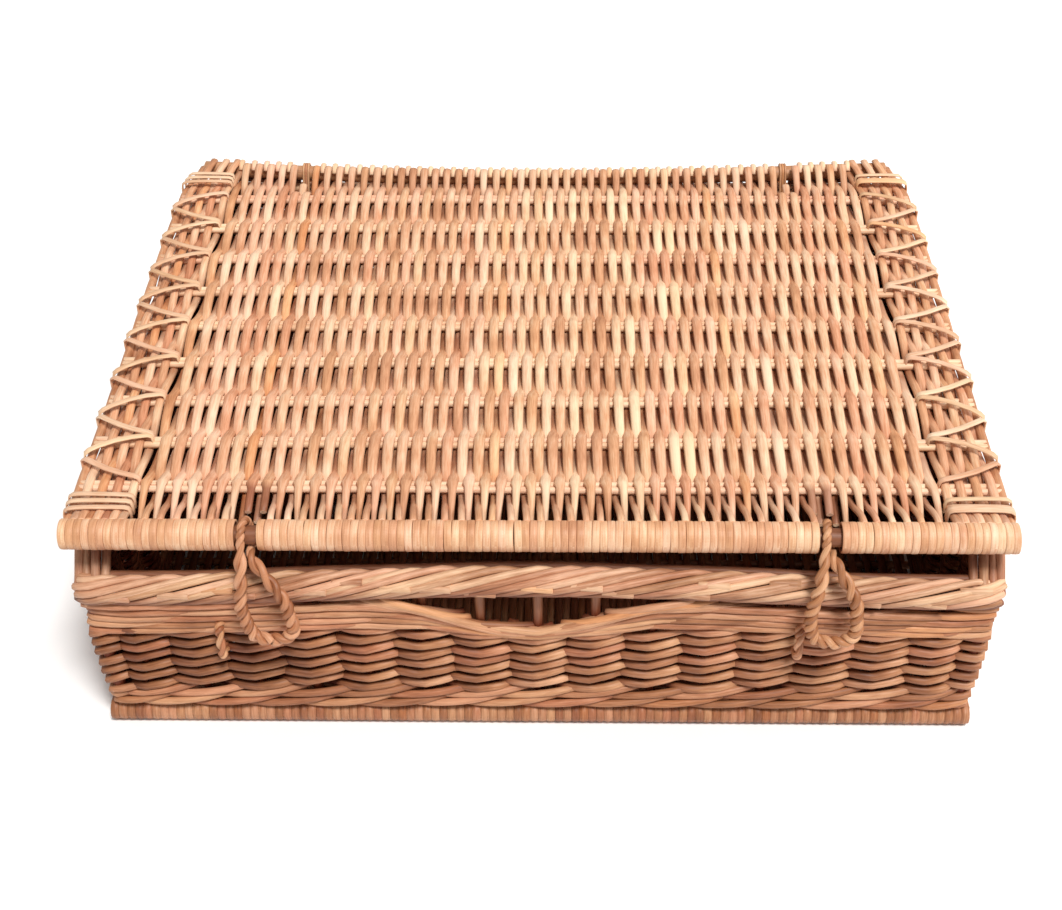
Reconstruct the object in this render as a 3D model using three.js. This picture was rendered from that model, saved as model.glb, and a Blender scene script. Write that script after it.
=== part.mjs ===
// A lidded wicker box: a rectangular willow basket with a hinged lid, two fastening loops and two staples.
// Millimetres. X runs along the front, Y runs from front to back, and Z is up.
// Each weaver is one unbroken flat strand, about three real rods wide, that passes over and under its sticks.

import * as THREE from "three";

// Gaps: pieces that lie on each other, pieces that run past each other, and rows of one weaver
const SEAT_GAP = 0.3;
const CROSSING_GAP = 0.4;
const CLEARANCE = 0.6;
const ROW_GAP = 0.7;

// The lid
const LID_LENGTH = 460;
const LID_DEPTH = 368;
const LID_EDGE_STICK_RADIUS = 5;
const LID_STICK_RADIUS = 2.8;
const LID_STICK_COUNT = 9;
const LID_STRAND_THICKNESS = 2.4;
const LID_COLUMN_PITCH = 13.9;
const END_COLUMN_COUNT = 3;
const END_COLUMN_PITCH = 10;
const END_BAND_GAP = 4.2;
const WINDOW_HALF_WIDTH = 7.5;
const WINDOW_SPREAD = 22;
const WINDOW_ROWS = 1.4;
const LASHING_THICKNESS = 1.2;
const LASHING_WIDTH = 4;
const LASHING_INSET = 2.6;
const LASHING_ARM_GAP = 3;
const LASHING_DROP = 6;
const CORNER_TURN_COUNT = 3;
const CORNER_TURN_PITCH = 5;

// The base
const BASE_LENGTH = 450;
const BASE_DEPTH = 356;
const BASE_EDGE_STICK_RADIUS = 4.2;
const BASE_STICK_RADIUS = 2.2;
const BASE_STICK_COUNT = 5;
const BASE_STRAND_THICKNESS = 1.6;
const BASE_COLUMN_PITCH = 25;

// The walls
const STAKE_RADIUS = 2.5;
const STAKE_PITCH = 28.7;
const BACK_STAKE_PITCH = 29.6;
const CORNER_ROOM = 12;
const POST_RADIUS = 3.6;
const WALL_STRAND_THICKNESS = 4;
const ROW_SHARES = [0.6, 1, 1, 1, 1, 1];
const TOP_ROW_HEIGHT = 4.4;
const FRONT_LEAN = 8;
const BACK_LEAN = 6;
const SIDE_LEAN = 2;
const SIDE_DIP = 9;
const SIDE_DIP_SPAN = [20, 70];
const RING_DIP_SPAN = [24, 60];
const POST_CLEARANCE = 1.3;

// The rolled border and the hand slot under it
const BORDER_DEPTH = 18;
const BORDER_HEIGHT = 14;
const BORDER_TOP = 123;
const GROOVE_DEPTH = 1.7;
const GROOVE_SPACING = 3;
const FRONT_BORDER_TOP = 106;
const FRONT_CROWN = 8;
const SLOT_HALF_LENGTH = 66;
const SLOT_HEIGHT = 14.5;

// The hinge rings, the fastening loops and the staples
const RING_SPACING = 0.68 * BASE_LENGTH;
const RING_THICKNESS = 3.2;
const RING_WIDTH = 4.4;
const RING_STATIONS = 20;
const LOOP_SPACING = 278;
const LOOP_STRAND_WIDTH = 7.8;
const LOOP_STRAND_THICKNESS = 4.4;
const LOOP_WIDTH = 23;
const LOOP_BOTTOM = 73;
const LOOP_LEAN_LEFT = 9;
const LOOP_LEAN_RIGHT = 10;
const LOOP_TWISTS = 6;
const LOOP_STATIONS = 48;
const STAPLE_ROW = 4;
const STAPLE_THICKNESS = 3;
const STAPLE_REACH = 10;

const X = new THREE.Vector3(1, 0, 0);
const Y = new THREE.Vector3(0, 1, 0);
const Z = new THREE.Vector3(0, 0, 1);
const { lerp, smoothstep, degToRad } = THREE.MathUtils;
const OCTANT = Math.PI / 4;
const MITRE = Math.cos(OCTANT / 2);

const root = new THREE.Group();
const lid = new THREE.Group();
const base = new THREE.Group();
root.add(lid, base);

function willow(color, roughness) {
  return new THREE.MeshStandardMaterial({ color, roughness, metalness: 0, flatShading: true });
}

const weaveWillow = willow(0xcf9f74, 0.6);
const stickWillow = willow(0xb98558, 0.6);
const borderWillow = willow(0xd9ab7d, 0.55);
const skeinWillow = willow(0xdcb88e, 0.5);
const loopWillow = willow(0xc88148, 0.55);

function vector(x, y, z) {
  return new THREE.Vector3(x, y, z);
}

function scaled(direction, length) {
  return direction.clone().multiplyScalar(length);
}

// One section of a strand: its centre, and half its thickness and half its width as vectors.
function section(at, thick, wide) {
  return { at, thick, wide };
}

function signedVolume(points, faces) {
  const normal = vector(0, 0, 0);
  return faces.reduce((sum, [i, j, k]) => {
    normal.crossVectors(points[j], points[k]);
    return sum + points[i].dot(normal) / 6;
  }, 0);
}

function geometryOf(points, faces) {
  const outward = signedVolume(points, faces) > 0;
  const index = faces.flatMap(([i, j, k]) => (outward ? [i, j, k] : [i, k, j]));
  const geometry = new THREE.BufferGeometry();
  const places = points.flatMap((point) => point.toArray());
  geometry.setAttribute("position", new THREE.Float32BufferAttribute(places, 3));
  geometry.setIndex(index);
  return geometry;
}

// One closed body through a list of outlines, which all have the same number of points.
function skin(outlines, ring) {
  const points = outlines.flat();
  const faces = [];
  const sides = outlines[0].length;
  const last = (outlines.length - 1) * sides;
  for (let here = 0; here < (ring ? last + 1 : last); here += sides) {
    const next = here === last ? 0 : here + sides;
    for (let i = 0; i < sides; i++) {
      const j = (i + 1) % sides;
      faces.push([here + i, here + j, next + j], [here + i, next + j, next + i]);
    }
  }
  for (let i = 1; !ring && i < sides - 1; i++) {
    faces.push([0, i + 1, i], [last, last + i, last + i + 1]);
  }
  return geometryOf(points, faces);
}

// A strand through a list of sections. With 4 sides it is a flat strip, and with more an ellipse across.
function strand(sections, { sides = 4, ring = false } = {}) {
  const reach = sides === 4 ? Math.SQRT2 : 1;
  const outlines = sections.map(({ at, thick, wide }) =>
    Array.from({ length: sides }, (_, i) => {
      const angle = (2 * Math.PI * (i + 0.5)) / sides;
      const point = at.clone().addScaledVector(thick, reach * Math.cos(angle));
      return point.addScaledVector(wide, reach * Math.sin(angle));
    }),
  );
  return skin(outlines, ring);
}

function addMesh(group, name, geometry, material) {
  const mesh = new THREE.Mesh(geometry, material);
  mesh.name = name;
  group.add(mesh);
  return mesh;
}

// A straight stick along X with eight sides, with its corners or its flats facing up and down.
function addStick(group, name, radius, length, y, flatUp) {
  const geometry = new THREE.CylinderGeometry(radius, radius, length, 8);
  geometry.rotateY(flatUp ? OCTANT / 2 : 0);
  geometry.rotateZ(Math.PI / 2);
  const joined = geometryFromBuffer(geometry);
  addMesh(group, name, joined, stickWillow).position.y = y;
}

// A three.js solid of revolution with its doubled seam points merged.
function geometryFromBuffer(geometry) {
  const source = geometry.attributes.position;
  const places = new Map();
  const points = [];
  const indexOf = (i) => {
    const point = vector(source.getX(i), source.getY(i), source.getZ(i));
    const key = point.toArray().map((v) => v.toFixed(4)).join();
    if (!places.has(key)) {
      places.set(key, points.push(point) - 1);
    }
    return places.get(key);
  };
  const corners = Array.from(geometry.index.array, indexOf);
  const faces = [];
  for (let i = 0; i < corners.length; i += 3) {
    const face = corners.slice(i, i + 3);
    if (new Set(face).size === 3) {
      faces.push(face);
    }
  }
  return geometryOf(points, faces);
}

// A woven panel's weaver: it runs from front to back over one stick and under the next, turns half round
// the edge stick and comes back as the next column. Its columns are given as places with half widths.
// Each turn leaves the strand's other face upward, which is its facing.
function wovenPanel({ columns, rowCount, edgeY, edgeRadius, turnAngles, offset, thickness, place }) {
  const half = thickness / 2;
  const sections = [];
  let facing = 1;
  const rowY = (row) => -edgeY + (2 * edgeY * row) / (rowCount + 1);
  const side = (column, row) => ((column + row) % 2 === 0 ? 1 : -1);
  const turn = (from, to, start, y) => {
    const entry = place(columns[from], y);
    const exit = place(columns[to], y);
    const widest = turnAngles.at(-1);
    for (const angle of turnAngles) {
      const share = (angle + widest) / (2 * widest);
      const out = vector(0, Math.sign(y) * Math.cos(angle), -start * Math.sin(angle));
      const low = lerp(entry.x - entry.half, exit.x - exit.half, Math.max(0, 2 * share - 1));
      const high = lerp(entry.x + entry.half, exit.x + exit.half, Math.min(1, 2 * share));
      const at = vector((low + high) / 2, y, 0).addScaledVector(out, edgeRadius);
      const thick = scaled(out, (facing * start * half) / MITRE);
      sections.push(section(at, thick, scaled(X, (high - low) / 2)));
    }
    facing = -facing;
  };
  const lastColumn = columns.length - 1;
  turn(0, 0, -side(0, 0), -edgeY);
  for (let column = 0; column <= lastColumn; column++) {
    const goesBack = column % 2 === 0;
    for (let step = 1; step <= rowCount; step++) {
      const row = goesBack ? step : rowCount + 1 - step;
      const { x, half: reach } = place(columns[column], rowY(row));
      const at = vector(x, rowY(row), side(column, row) * offset);
      sections.push(section(at, scaled(Z, facing * half), scaled(X, reach)));
    }
    const endRow = goesBack ? rowCount + 1 : 0;
    turn(column, Math.min(column + 1, lastColumn), side(column, endRow), rowY(endRow));
  }
  return strand(sections);
}

// The lid: where its edge sticks lie, and how thick it is
const lidWrapCentre = LID_EDGE_STICK_RADIUS + (SEAT_GAP + LID_STRAND_THICKNESS / 2) / MITRE;
const lidWrapRadius = LID_EDGE_STICK_RADIUS + (SEAT_GAP + LID_STRAND_THICKNESS) / MITRE;
const lidEdgeY = LID_DEPTH / 2 - lidWrapRadius;
const lidPlaneZ = BORDER_TOP + SEAT_GAP + lidWrapRadius;
const lidWeaveOffset = LID_STICK_RADIUS + CROSSING_GAP + LID_STRAND_THICKNESS / 2;
const lidWeaveTop = lidWeaveOffset + LID_STRAND_THICKNESS / 2;
const lidRowPitch = (2 * lidEdgeY) / (LID_STICK_COUNT + 1);
const lidStickLength = LID_LENGTH - 2 * LASHING_THICKNESS - 2 * CLEARANCE;

// The lid's columns: tight ones in the two end bands, and wider ones between them
const bandOuter = lidStickLength / 2;
const bandInner = bandOuter - END_COLUMN_COUNT * END_COLUMN_PITCH;
const innerHalf = bandInner - END_BAND_GAP;
const innerCount = 2 * Math.round(innerHalf / LID_COLUMN_PITCH);
const innerPitch = (2 * innerHalf) / innerCount;

function lidColumns() {
  const band = Array.from({ length: END_COLUMN_COUNT }, (_, i) => ({
    x: bandOuter - (i + 0.5) * END_COLUMN_PITCH,
    half: (END_COLUMN_PITCH - ROW_GAP) / 2,
  }));
  const inner = Array.from({ length: innerCount }, (_, i) => ({
    x: -innerHalf + (i + 0.5) * innerPitch,
    half: (innerPitch - ROW_GAP) / 2,
  }));
  return [...band.map(({ x, half }) => ({ x: -x, half })), ...inner, ...band.reverse()];
}

// The boundary nearest to a wanted place where no turn of the weaver covers the edge stick.
function openBoundary(wanted, atBack) {
  const columns = lidColumns();
  let best = Infinity;
  for (let i = atBack ? 1 : 0; i < columns.length - 1; i += 2) {
    const boundary = (columns[i].x + columns[i + 1].x) / 2;
    best = Math.abs(boundary - wanted) < Math.abs(best - wanted) ? boundary : best;
  }
  return best;
}

const ringPlaces = [openBoundary(-RING_SPACING / 2, true), openBoundary(RING_SPACING / 2, true)];
const loopPlaces = [openBoundary(-LOOP_SPACING / 2, false), openBoundary(LOOP_SPACING / 2, false)];

// Beside each ring and each loop the columns stand apart, so that a window lies open round the edge stick.
function lidPlace({ x, half }, y) {
  const windows = y > 0 ? ringPlaces : loopPlaces;
  const fromEdge = (lidEdgeY - Math.abs(y)) / lidRowPitch;
  const strength = Math.max(0, 1 - fromEdge / WINDOW_ROWS);
  let moved = x;
  let share = 1;
  for (const centre of windows) {
    const fade = Math.exp(-Math.abs(x - centre) / WINDOW_SPREAD);
    moved += Math.sign(x - centre) * WINDOW_HALF_WIDTH * fade * strength;
    share -= (WINDOW_HALF_WIDTH / WINDOW_SPREAD) * fade * strength;
  }
  return { x: moved, half: half * share };
}

// A split willow skein that zigzags over an end band, with a point inward at each stick.
function zigzagLashing(hand) {
  const z = lidWeaveTop + SEAT_GAP + LASHING_THICKNESS / 2;
  const half = LASHING_THICKNESS / 2;
  const edgeX = LID_LENGTH / 2 - half;
  const turnX = edgeX - LASHING_INSET;
  const armLength = turnX - bandInner;
  const armRise = lidRowPitch / 2 - LASHING_ARM_GAP;
  const slant = armRise / Math.hypot(armLength, armRise);
  const sections = [];
  const top = (y, sense) =>
    section(vector(hand * turnX, y, z), scaled(Z, half), scaled(Y, (sense * LASHING_WIDTH) / 2));
  for (let row = 1; row <= LID_STICK_COUNT; row++) {
    const y = -lidEdgeY + row * lidRowPitch;
    if (row > 1) {
      const side = vector(hand * edgeX, y - lidRowPitch / 2, z - LASHING_DROP);
      sections.push(section(side, scaled(X, hand * half), scaled(Z, LASHING_WIDTH / 2)));
      sections.push(top(y - armRise, -1));
    }
    const point = vector(hand * (bandInner + 1), y, z);
    sections.push(section(point, scaled(Z, half), scaled(X, -hand * (LASHING_WIDTH / 2 / slant) * 0.6)));
    if (row < LID_STICK_COUNT) {
      sections.push(top(y + armRise, 1));
    }
  }
  return strand(sections);
}

// Parallel turns of skein round an end band, between an edge stick and the stick next to it.
function cornerBinding(hand, towards) {
  const z = lidWeaveTop + SEAT_GAP + LASHING_THICKNESS / 2;
  const half = LASHING_THICKNESS / 2;
  const outerX = LID_LENGTH / 2 - half;
  const innerX = bandInner - END_BAND_GAP / 2;
  const firstY = lidEdgeY - lidWrapRadius - LASHING_WIDTH / 2 - CLEARANCE;
  const corners = [
    [innerX, -1],
    [innerX, 1],
    [outerX, 1],
    [outerX, -1],
  ];
  const sections = [];
  for (let turn = 0; turn < CORNER_TURN_COUNT; turn++) {
    corners.forEach(([x, up], i) => {
      const y = towards * (firstY - (turn + i / 4) * CORNER_TURN_PITCH);
      const out = vector(hand * (x === outerX ? 1 : -1), 0, up);
      sections.push(section(vector(hand * x, y, up * z), scaled(out, half), scaled(Y, LASHING_WIDTH / 2)));
    });
  }
  return strand(sections);
}

function buildLid() {
  for (const [name, y] of [["lid_front_edge_stick", -lidEdgeY], ["lid_back_edge_stick", lidEdgeY]]) {
    addStick(lid, name, LID_EDGE_STICK_RADIUS, lidStickLength, y, false);
  }
  for (let row = 1; row <= LID_STICK_COUNT; row++) {
    addStick(lid, `lid_stick_${row}`, LID_STICK_RADIUS, lidStickLength, -lidEdgeY + row * lidRowPitch, false);
  }
  const weave = wovenPanel({
    columns: lidColumns(),
    rowCount: LID_STICK_COUNT,
    edgeY: lidEdgeY,
    edgeRadius: lidWrapCentre,
    turnAngles: [-2, -1, 0, 1, 2].map((step) => step * OCTANT),
    offset: lidWeaveOffset,
    thickness: LID_STRAND_THICKNESS,
    place: lidPlace,
  });
  addMesh(lid, "lid_weave", weave, weaveWillow);
  for (const [sideName, hand] of [["left", -1], ["right", 1]]) {
    addMesh(lid, `lid_lashing_${sideName}`, zigzagLashing(hand), skeinWillow);
    for (const [endName, towards] of [["front", -1], ["back", 1]]) {
      addMesh(lid, `lid_corner_binding_${endName}_${sideName}`, cornerBinding(hand, towards), skeinWillow);
    }
  }
}

// The base: its wrapped edge has flats, so that it stands on them
const baseHalfThickness = BASE_EDGE_STICK_RADIUS * MITRE + SEAT_GAP + BASE_STRAND_THICKNESS;
const baseEdgeY = BASE_DEPTH / 2 - baseHalfThickness;
const baseTop = 2 * baseHalfThickness;
const baseRowPitch = (2 * baseEdgeY) / (BASE_STICK_COUNT + 1);
const baseStickLength = BASE_LENGTH - 2;

function buildBase() {
  for (const [name, y] of [["base_front_edge_stick", -baseEdgeY], ["base_back_edge_stick", baseEdgeY]]) {
    addStick(base, name, BASE_EDGE_STICK_RADIUS, baseStickLength, y, true);
  }
  for (let row = 1; row <= BASE_STICK_COUNT; row++) {
    const y = -baseEdgeY + row * baseRowPitch;
    addStick(base, `base_stick_${row}`, BASE_STICK_RADIUS, baseStickLength, y, false);
  }
  const count = 2 * Math.round(BASE_LENGTH / BASE_COLUMN_PITCH / 2);
  const pitch = BASE_LENGTH / count;
  const columns = Array.from({ length: count }, (_, i) => ({
    x: -BASE_LENGTH / 2 + (i + 0.5) * pitch,
    half: (pitch - ROW_GAP) / 2,
  }));
  const weave = wovenPanel({
    columns,
    rowCount: BASE_STICK_COUNT,
    edgeY: baseEdgeY,
    edgeRadius: (baseHalfThickness - BASE_STRAND_THICKNESS / 2) / MITRE,
    turnAngles: [-2.5, -1.5, -0.5, 0.5, 1.5, 2.5].map((step) => step * OCTANT),
    offset: BASE_STICK_RADIUS + CROSSING_GAP + BASE_STRAND_THICKNESS / 2,
    thickness: BASE_STRAND_THICKNESS,
    place: (column) => column,
  });
  addMesh(base, "base_weave", weave, weaveWillow);
}

// The walls: the heights they run between, and how far the stakes stand from the middle of the box
const wallBottom = baseTop + CLEARANCE;
const weaveOffset = STAKE_RADIUS + CLEARANCE + WALL_STRAND_THICKNESS / 2;
const wallInset = weaveOffset + WALL_STRAND_THICKNESS / 2 + SEAT_GAP;
const borderFoot = BORDER_TOP - BORDER_HEIGHT;

function leaning(reach, lean) {
  return (z) => reach - wallInset + (lean * (z - wallBottom)) / (borderFoot - wallBottom);
}

const frontReach = leaning(BASE_DEPTH / 2, FRONT_LEAN);
const backReach = leaning(BASE_DEPTH / 2, BACK_LEAN);
const sideReach = leaning(BASE_LENGTH / 2, SIDE_LEAN);

// The front border is crowned, and lower than the others.
function frontBorderFoot(x) {
  const crown = Math.cos((Math.PI * Math.min(Math.abs(x) / sideReach(borderFoot), 1)) / 2) ** 2;
  return FRONT_BORDER_TOP - BORDER_HEIGHT + FRONT_CROWN * crown;
}

const WALLS = {
  front: { along: X, out: scaled(Y, -1), reach: frontReach, foot: frontBorderFoot },
  right: { along: Y, out: X, reach: sideReach, foot: () => borderFoot },
  back: { along: scaled(X, -1), out: Y, reach: backReach, foot: () => borderFoot },
  left: { along: scaled(Y, -1), out: scaled(X, -1), reach: sideReach, foot: () => borderFoot },
};

// Evenly spaced places along a wall: an odd number of them has one in the middle.
function stakePlaces(halfLength, pitch, odd) {
  const steps = Math.floor((halfLength - CORNER_ROOM) / pitch + (odd ? 0 : 0.5));
  const count = odd ? 2 * steps + 1 : 2 * steps;
  return Array.from({ length: count }, (_, i) => (i - (count - 1) / 2) * pitch);
}

const stakes = {
  front: stakePlaces(sideReach(wallBottom), STAKE_PITCH, true),
  right: stakePlaces(frontReach(wallBottom), STAKE_PITCH, true),
  back: stakePlaces(sideReach(wallBottom), BACK_STAKE_PITCH, false),
  left: stakePlaces(frontReach(wallBottom), STAKE_PITCH, true),
};

function onWall(wall, u, z, outward = 0) {
  const at = scaled(wall.along, u).addScaledVector(wall.out, wall.reach(z) + outward);
  return at.setZ(z);
}

const staplePlaces = [-5.5 * STAKE_PITCH, 4.5 * STAKE_PITCH];

// How high the weaving reaches: to the border, but lower under the hinge rings and towards the low front.
function weaveTop(name, u) {
  const top = WALLS[name].foot(u) - CLEARANCE;
  if (name === "front") {
    return top;
  }
  if (name === "back") {
    const nearest = Math.min(...ringPlaces.map((x) => Math.abs(-u - x)));
    const under = 1 - smoothstep(nearest, ...RING_DIP_SPAN);
    return top - under * (RING_THICKNESS + 2 * CLEARANCE);
  }
  const fromFront = frontReach(wallBottom) + u * Math.sign(WALLS[name].along.y);
  return top - SIDE_DIP * (1 - smoothstep(fromFront, ...SIDE_DIP_SPAN));
}

// The hand slot parts the top row from the rows below it.
function slotDepth(name, u) {
  const share = Math.min(Math.abs(u) / SLOT_HALF_LENGTH, 1);
  return name === "front" ? SLOT_HEIGHT * Math.cos((Math.PI * share) / 2) ** 2 : 0;
}

// The lower and upper edge of one row of the wall's weaver where it passes a stake.
function rowSpan(row, top, slot, name, u) {
  const underTop = top - TOP_ROW_HEIGHT;
  if (row === ROW_SHARES.length) {
    return [underTop + ROW_GAP / 2, top - ROW_GAP / 2];
  }
  const total = ROW_SHARES.reduce((sum, share) => sum + share);
  const height = (underTop - slot - wallBottom) / total;
  const below = ROW_SHARES.slice(0, row).reduce((sum, share) => sum + share, 0);
  const low = wallBottom + below * height;
  const high = low + ROW_SHARES[row] * height;
  const nearStaple = name === "front" && staplePlaces.some((x) => Math.abs(u - x) < STAKE_PITCH * 0.75);
  const margin = (boundary) => {
    const parted = nearStaple && (boundary === STAPLE_ROW || boundary === STAPLE_ROW + 1);
    return parted ? STAPLE_THICKNESS / 2 + 0.4 : ROW_GAP / 2;
  };
  return [low + margin(row), high - margin(row + 1)];
}

function cornerAt(wall, next, z) {
  return scaled(wall.out, wall.reach(z)).addScaledVector(next.out, next.reach(z)).setZ(z);
}

// One weaver goes round all four walls, row on row. The stakes and posts are odd in number, so that it passes
// outside a stake in one row and inside it in the next. It steps up one row at the back left corner.
function wallWeave() {
  const names = ["front", "right", "back", "left"];
  const half = WALL_STRAND_THICKNESS / 2;
  const sections = [];
  let crossing = 0;
  const pass = (span, put) => {
    const z = (span[0] + span[1]) / 2;
    put(z, scaled(Z, (span[1] - span[0]) / 2), crossing % 2 === 0);
    crossing += 1;
  };
  for (let row = 0; row <= ROW_SHARES.length; row++) {
    names.forEach((name, i) => {
      const wall = WALLS[name];
      const next = WALLS[names[(i + 1) % 4]];
      for (const u of stakes[name]) {
        const span = rowSpan(row, weaveTop(name, u), slotDepth(name, u), name, u);
        pass(span, (z, wide, outside) => {
          const at = onWall(wall, u, z, outside ? weaveOffset : -weaveOffset);
          sections.push(section(at, scaled(wall.out, half), wide));
        });
      }
      const corner = [name, names[(i + 1) % 4]].includes("front") ? "front" : name;
      const top = WALLS[corner].foot(sideReach(borderFoot)) - SEAT_GAP;
      pass(rowSpan(row, top, 0, name, Infinity), (z, wide, outside) => {
        const middle = wall.out.clone().add(next.out).normalize();
        const centre = cornerAt(wall, next, z);
        const distance = POST_RADIUS + half + POST_CLEARANCE;
        if (!outside) {
          sections.push(section(centre.addScaledVector(middle, -distance), scaled(middle, half * 1.2), wide));
          return;
        }
        for (const direction of [wall.out, middle, next.out]) {
          const at = centre.clone().addScaledVector(direction, distance);
          sections.push(section(at, scaled(direction, half), wide));
        }
      });
    });
  }
  return strand(sections);
}

// The rolled border across, from its foot on the inside over the top to its foot on the outside, as shares of
// its depth and height. Its grooves run slantwise over the points between the two feet.
const BORDER_OUTLINE = [
  [-0.42, 0.1],
  [-0.5, 0.5],
  [-0.32, 0.92],
  [0.1, 1],
  [0.42, 0.78],
  [0.5, 0.4],
];

// Where a section of a border stands: the middle of its foot, and which way is up in it.
function borderFrame(name, u) {
  return { foot: onWall(WALLS[name], u, WALLS[name].foot(u)), up: Z };
}

// The front end of a side border, which turns down onto the front border.
function turnedDownFrames(name) {
  const wall = WALLS[name];
  const forward = -Math.sign(wall.along.y);
  const front = frontReach(borderFoot);
  const middleZ = borderFoot + BORDER_HEIGHT / 2;
  const bend = [
    [front - 24, middleZ, 0],
    [front - 10, middleZ - 2.2, 35],
    [front - 3, middleZ - 6, 65],
    [front - 1, FRONT_BORDER_TOP + SEAT_GAP, 90],
  ];
  return bend.map(([u, z, degrees]) => {
    const angle = degToRad(degrees);
    const up = vector(0, -Math.sin(angle), Math.cos(angle));
    const centre = onWall(wall, forward * u, middleZ).setZ(z);
    return { foot: centre.addScaledVector(up, -BORDER_HEIGHT / 2), up, smooth: true };
  });
}

// One wall's stakes, and the rolled border that their bent tops make, as one body.
function stakesAndBorder(name, before, after) {
  const wall = WALLS[name];
  const half = STAKE_RADIUS * Math.SQRT1_2;
  const frames = [...before];
  const standing = new Map();
  stakes[name].forEach((u, i) => {
    standing.set(frames.length, u);
    frames.push(borderFrame(name, u - half), borderFrame(name, u + half));
    if (name === "front" && i < stakes[name].length - 1) {
      frames.push(borderFrame(name, u + STAKE_PITCH / 2));
    }
  });
  frames.push(...after);
  const points = [];
  const faces = [];
  const across = BORDER_OUTLINE.length + 2;
  frames.forEach(({ foot, up, smooth }, station) => {
    const centre = foot.clone().addScaledVector(up, BORDER_HEIGHT / 2);
    const isEnd = station === 0 || station === frames.length - 1;
    points.push(foot.clone().addScaledVector(wall.out, -half));
    BORDER_OUTLINE.forEach(([outward, high], i) => {
      const point = foot.clone().addScaledVector(wall.out, outward * BORDER_DEPTH);
      point.addScaledVector(up, high * BORDER_HEIGHT);
      const grooved = !smooth && !isEnd && (i + station) % GROOVE_SPACING === 0;
      const inward = centre.clone().sub(point).normalize();
      points.push(point.addScaledVector(inward, grooved ? GROOVE_DEPTH : 0));
    });
    points.push(foot.clone().addScaledVector(wall.out, half));
  });
  for (let station = 0; station < frames.length - 1; station++) {
    const here = station * across;
    const next = here + across;
    const sides = standing.has(station) ? across - 1 : across;
    for (let i = 0; i < sides; i++) {
      const j = (i + 1) % across;
      faces.push([here + i, here + j, next + j], [here + i, next + j, next + i]);
    }
  }
  const last = (frames.length - 1) * across;
  for (let i = 1; i < across - 1; i++) {
    faces.push([0, i + 1, i], [last, last + i, last + i + 1]);
  }
  for (const [station, u] of standing) {
    const here = station * across;
    let ring = [here, here + across - 1, here + 2 * across - 1, here + across];
    for (const z of [wall.foot(u) - STAKE_RADIUS, wallBottom]) {
      const first = points.length;
      for (const direction of [scaled(wall.out, -1), scaled(wall.along, -1), wall.out, wall.along]) {
        points.push(onWall(wall, u, z).addScaledVector(direction, STAKE_RADIUS));
      }
      const lower = [0, 1, 2, 3].map((i) => first + i);
      for (let i = 0; i < 4; i++) {
        const j = (i + 1) % 4;
        faces.push([ring[j], ring[i], lower[i]], [ring[j], lower[i], lower[j]]);
      }
      ring = lower;
    }
    faces.push([ring[0], ring[2], ring[1]], [ring[0], ring[3], ring[2]]);
  }
  return geometryOf(points, faces);
}

function buildWalls() {
  const sideEnd = sideReach(borderFoot) + STAKE_RADIUS - CLEARANCE;
  const backEnd = backReach(borderFoot) + BORDER_DEPTH / 2;
  const between = sideReach(borderFoot) - BORDER_DEPTH / 2 - SEAT_GAP;
  const ends = {
    front: [[borderFrame("front", -sideEnd)], [borderFrame("front", sideEnd)]],
    back: [[borderFrame("back", -between)], [borderFrame("back", between)]],
    right: [turnedDownFrames("right").reverse(), [borderFrame("right", backEnd)]],
    left: [[borderFrame("left", -backEnd)], turnedDownFrames("left")],
  };
  for (const name of Object.keys(WALLS)) {
    addMesh(root, `${name}_stakes_and_border`, stakesAndBorder(name, ...ends[name]), borderWillow);
  }
  const corners = [
    ["front", "right", frontBorderFoot(Infinity)],
    ["right", "back", borderFoot],
    ["back", "left", borderFoot],
    ["left", "front", frontBorderFoot(Infinity)],
  ];
  for (const [name, nextName, top] of corners) {
    const sections = [wallBottom, top - SEAT_GAP].map((z) =>
      section(cornerAt(WALLS[name], WALLS[nextName], z), scaled(X, POST_RADIUS), scaled(Y, POST_RADIUS)),
    );
    const [end, side] = name === "front" || name === "back" ? [name, nextName] : [nextName, name];
    addMesh(root, `corner_post_${end}_${side}`, strand(sections, { sides: 6 }), stickWillow);
  }
  addMesh(root, "wall_weave", wallWeave(), weaveWillow);
}

// A belt round circles in the plane across the box: for each direction, the point that lies furthest out.
function belt(circles) {
  return Array.from({ length: RING_STATIONS }, (_, i) => {
    const angle = (2 * Math.PI * i) / RING_STATIONS;
    const out = vector(0, Math.cos(angle), Math.sin(angle));
    const reach = ({ y, z, radius }) => y * out.y + z * out.z + radius;
    const { y, z, radius } = circles.reduce((a, b) => (reach(b) > reach(a) ? b : a));
    return { at: vector(0, y, z).addScaledVector(out, radius), out };
  });
}

// A hinge ring goes round the back border and the lid's bare back edge stick, which stays free to turn.
function hingeRing(x) {
  const off = CLEARANCE + RING_THICKNESS / 2;
  const corners = [-1, 1].flatMap((side) => {
    const y = backReach(borderFoot) + (side * BORDER_DEPTH) / 2;
    return [borderFoot, BORDER_TOP].map((z) => ({ y, z, radius: off }));
  });
  const stick = { y: lidEdgeY, z: lidPlaneZ, radius: LID_EDGE_STICK_RADIUS + off };
  const sections = belt([...corners, stick]).map(({ at, out }) =>
    section(at.setX(x), scaled(out, RING_THICKNESS / 2), scaled(X, RING_WIDTH / 2)),
  );
  return strand(sections, { ring: true });
}

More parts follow.
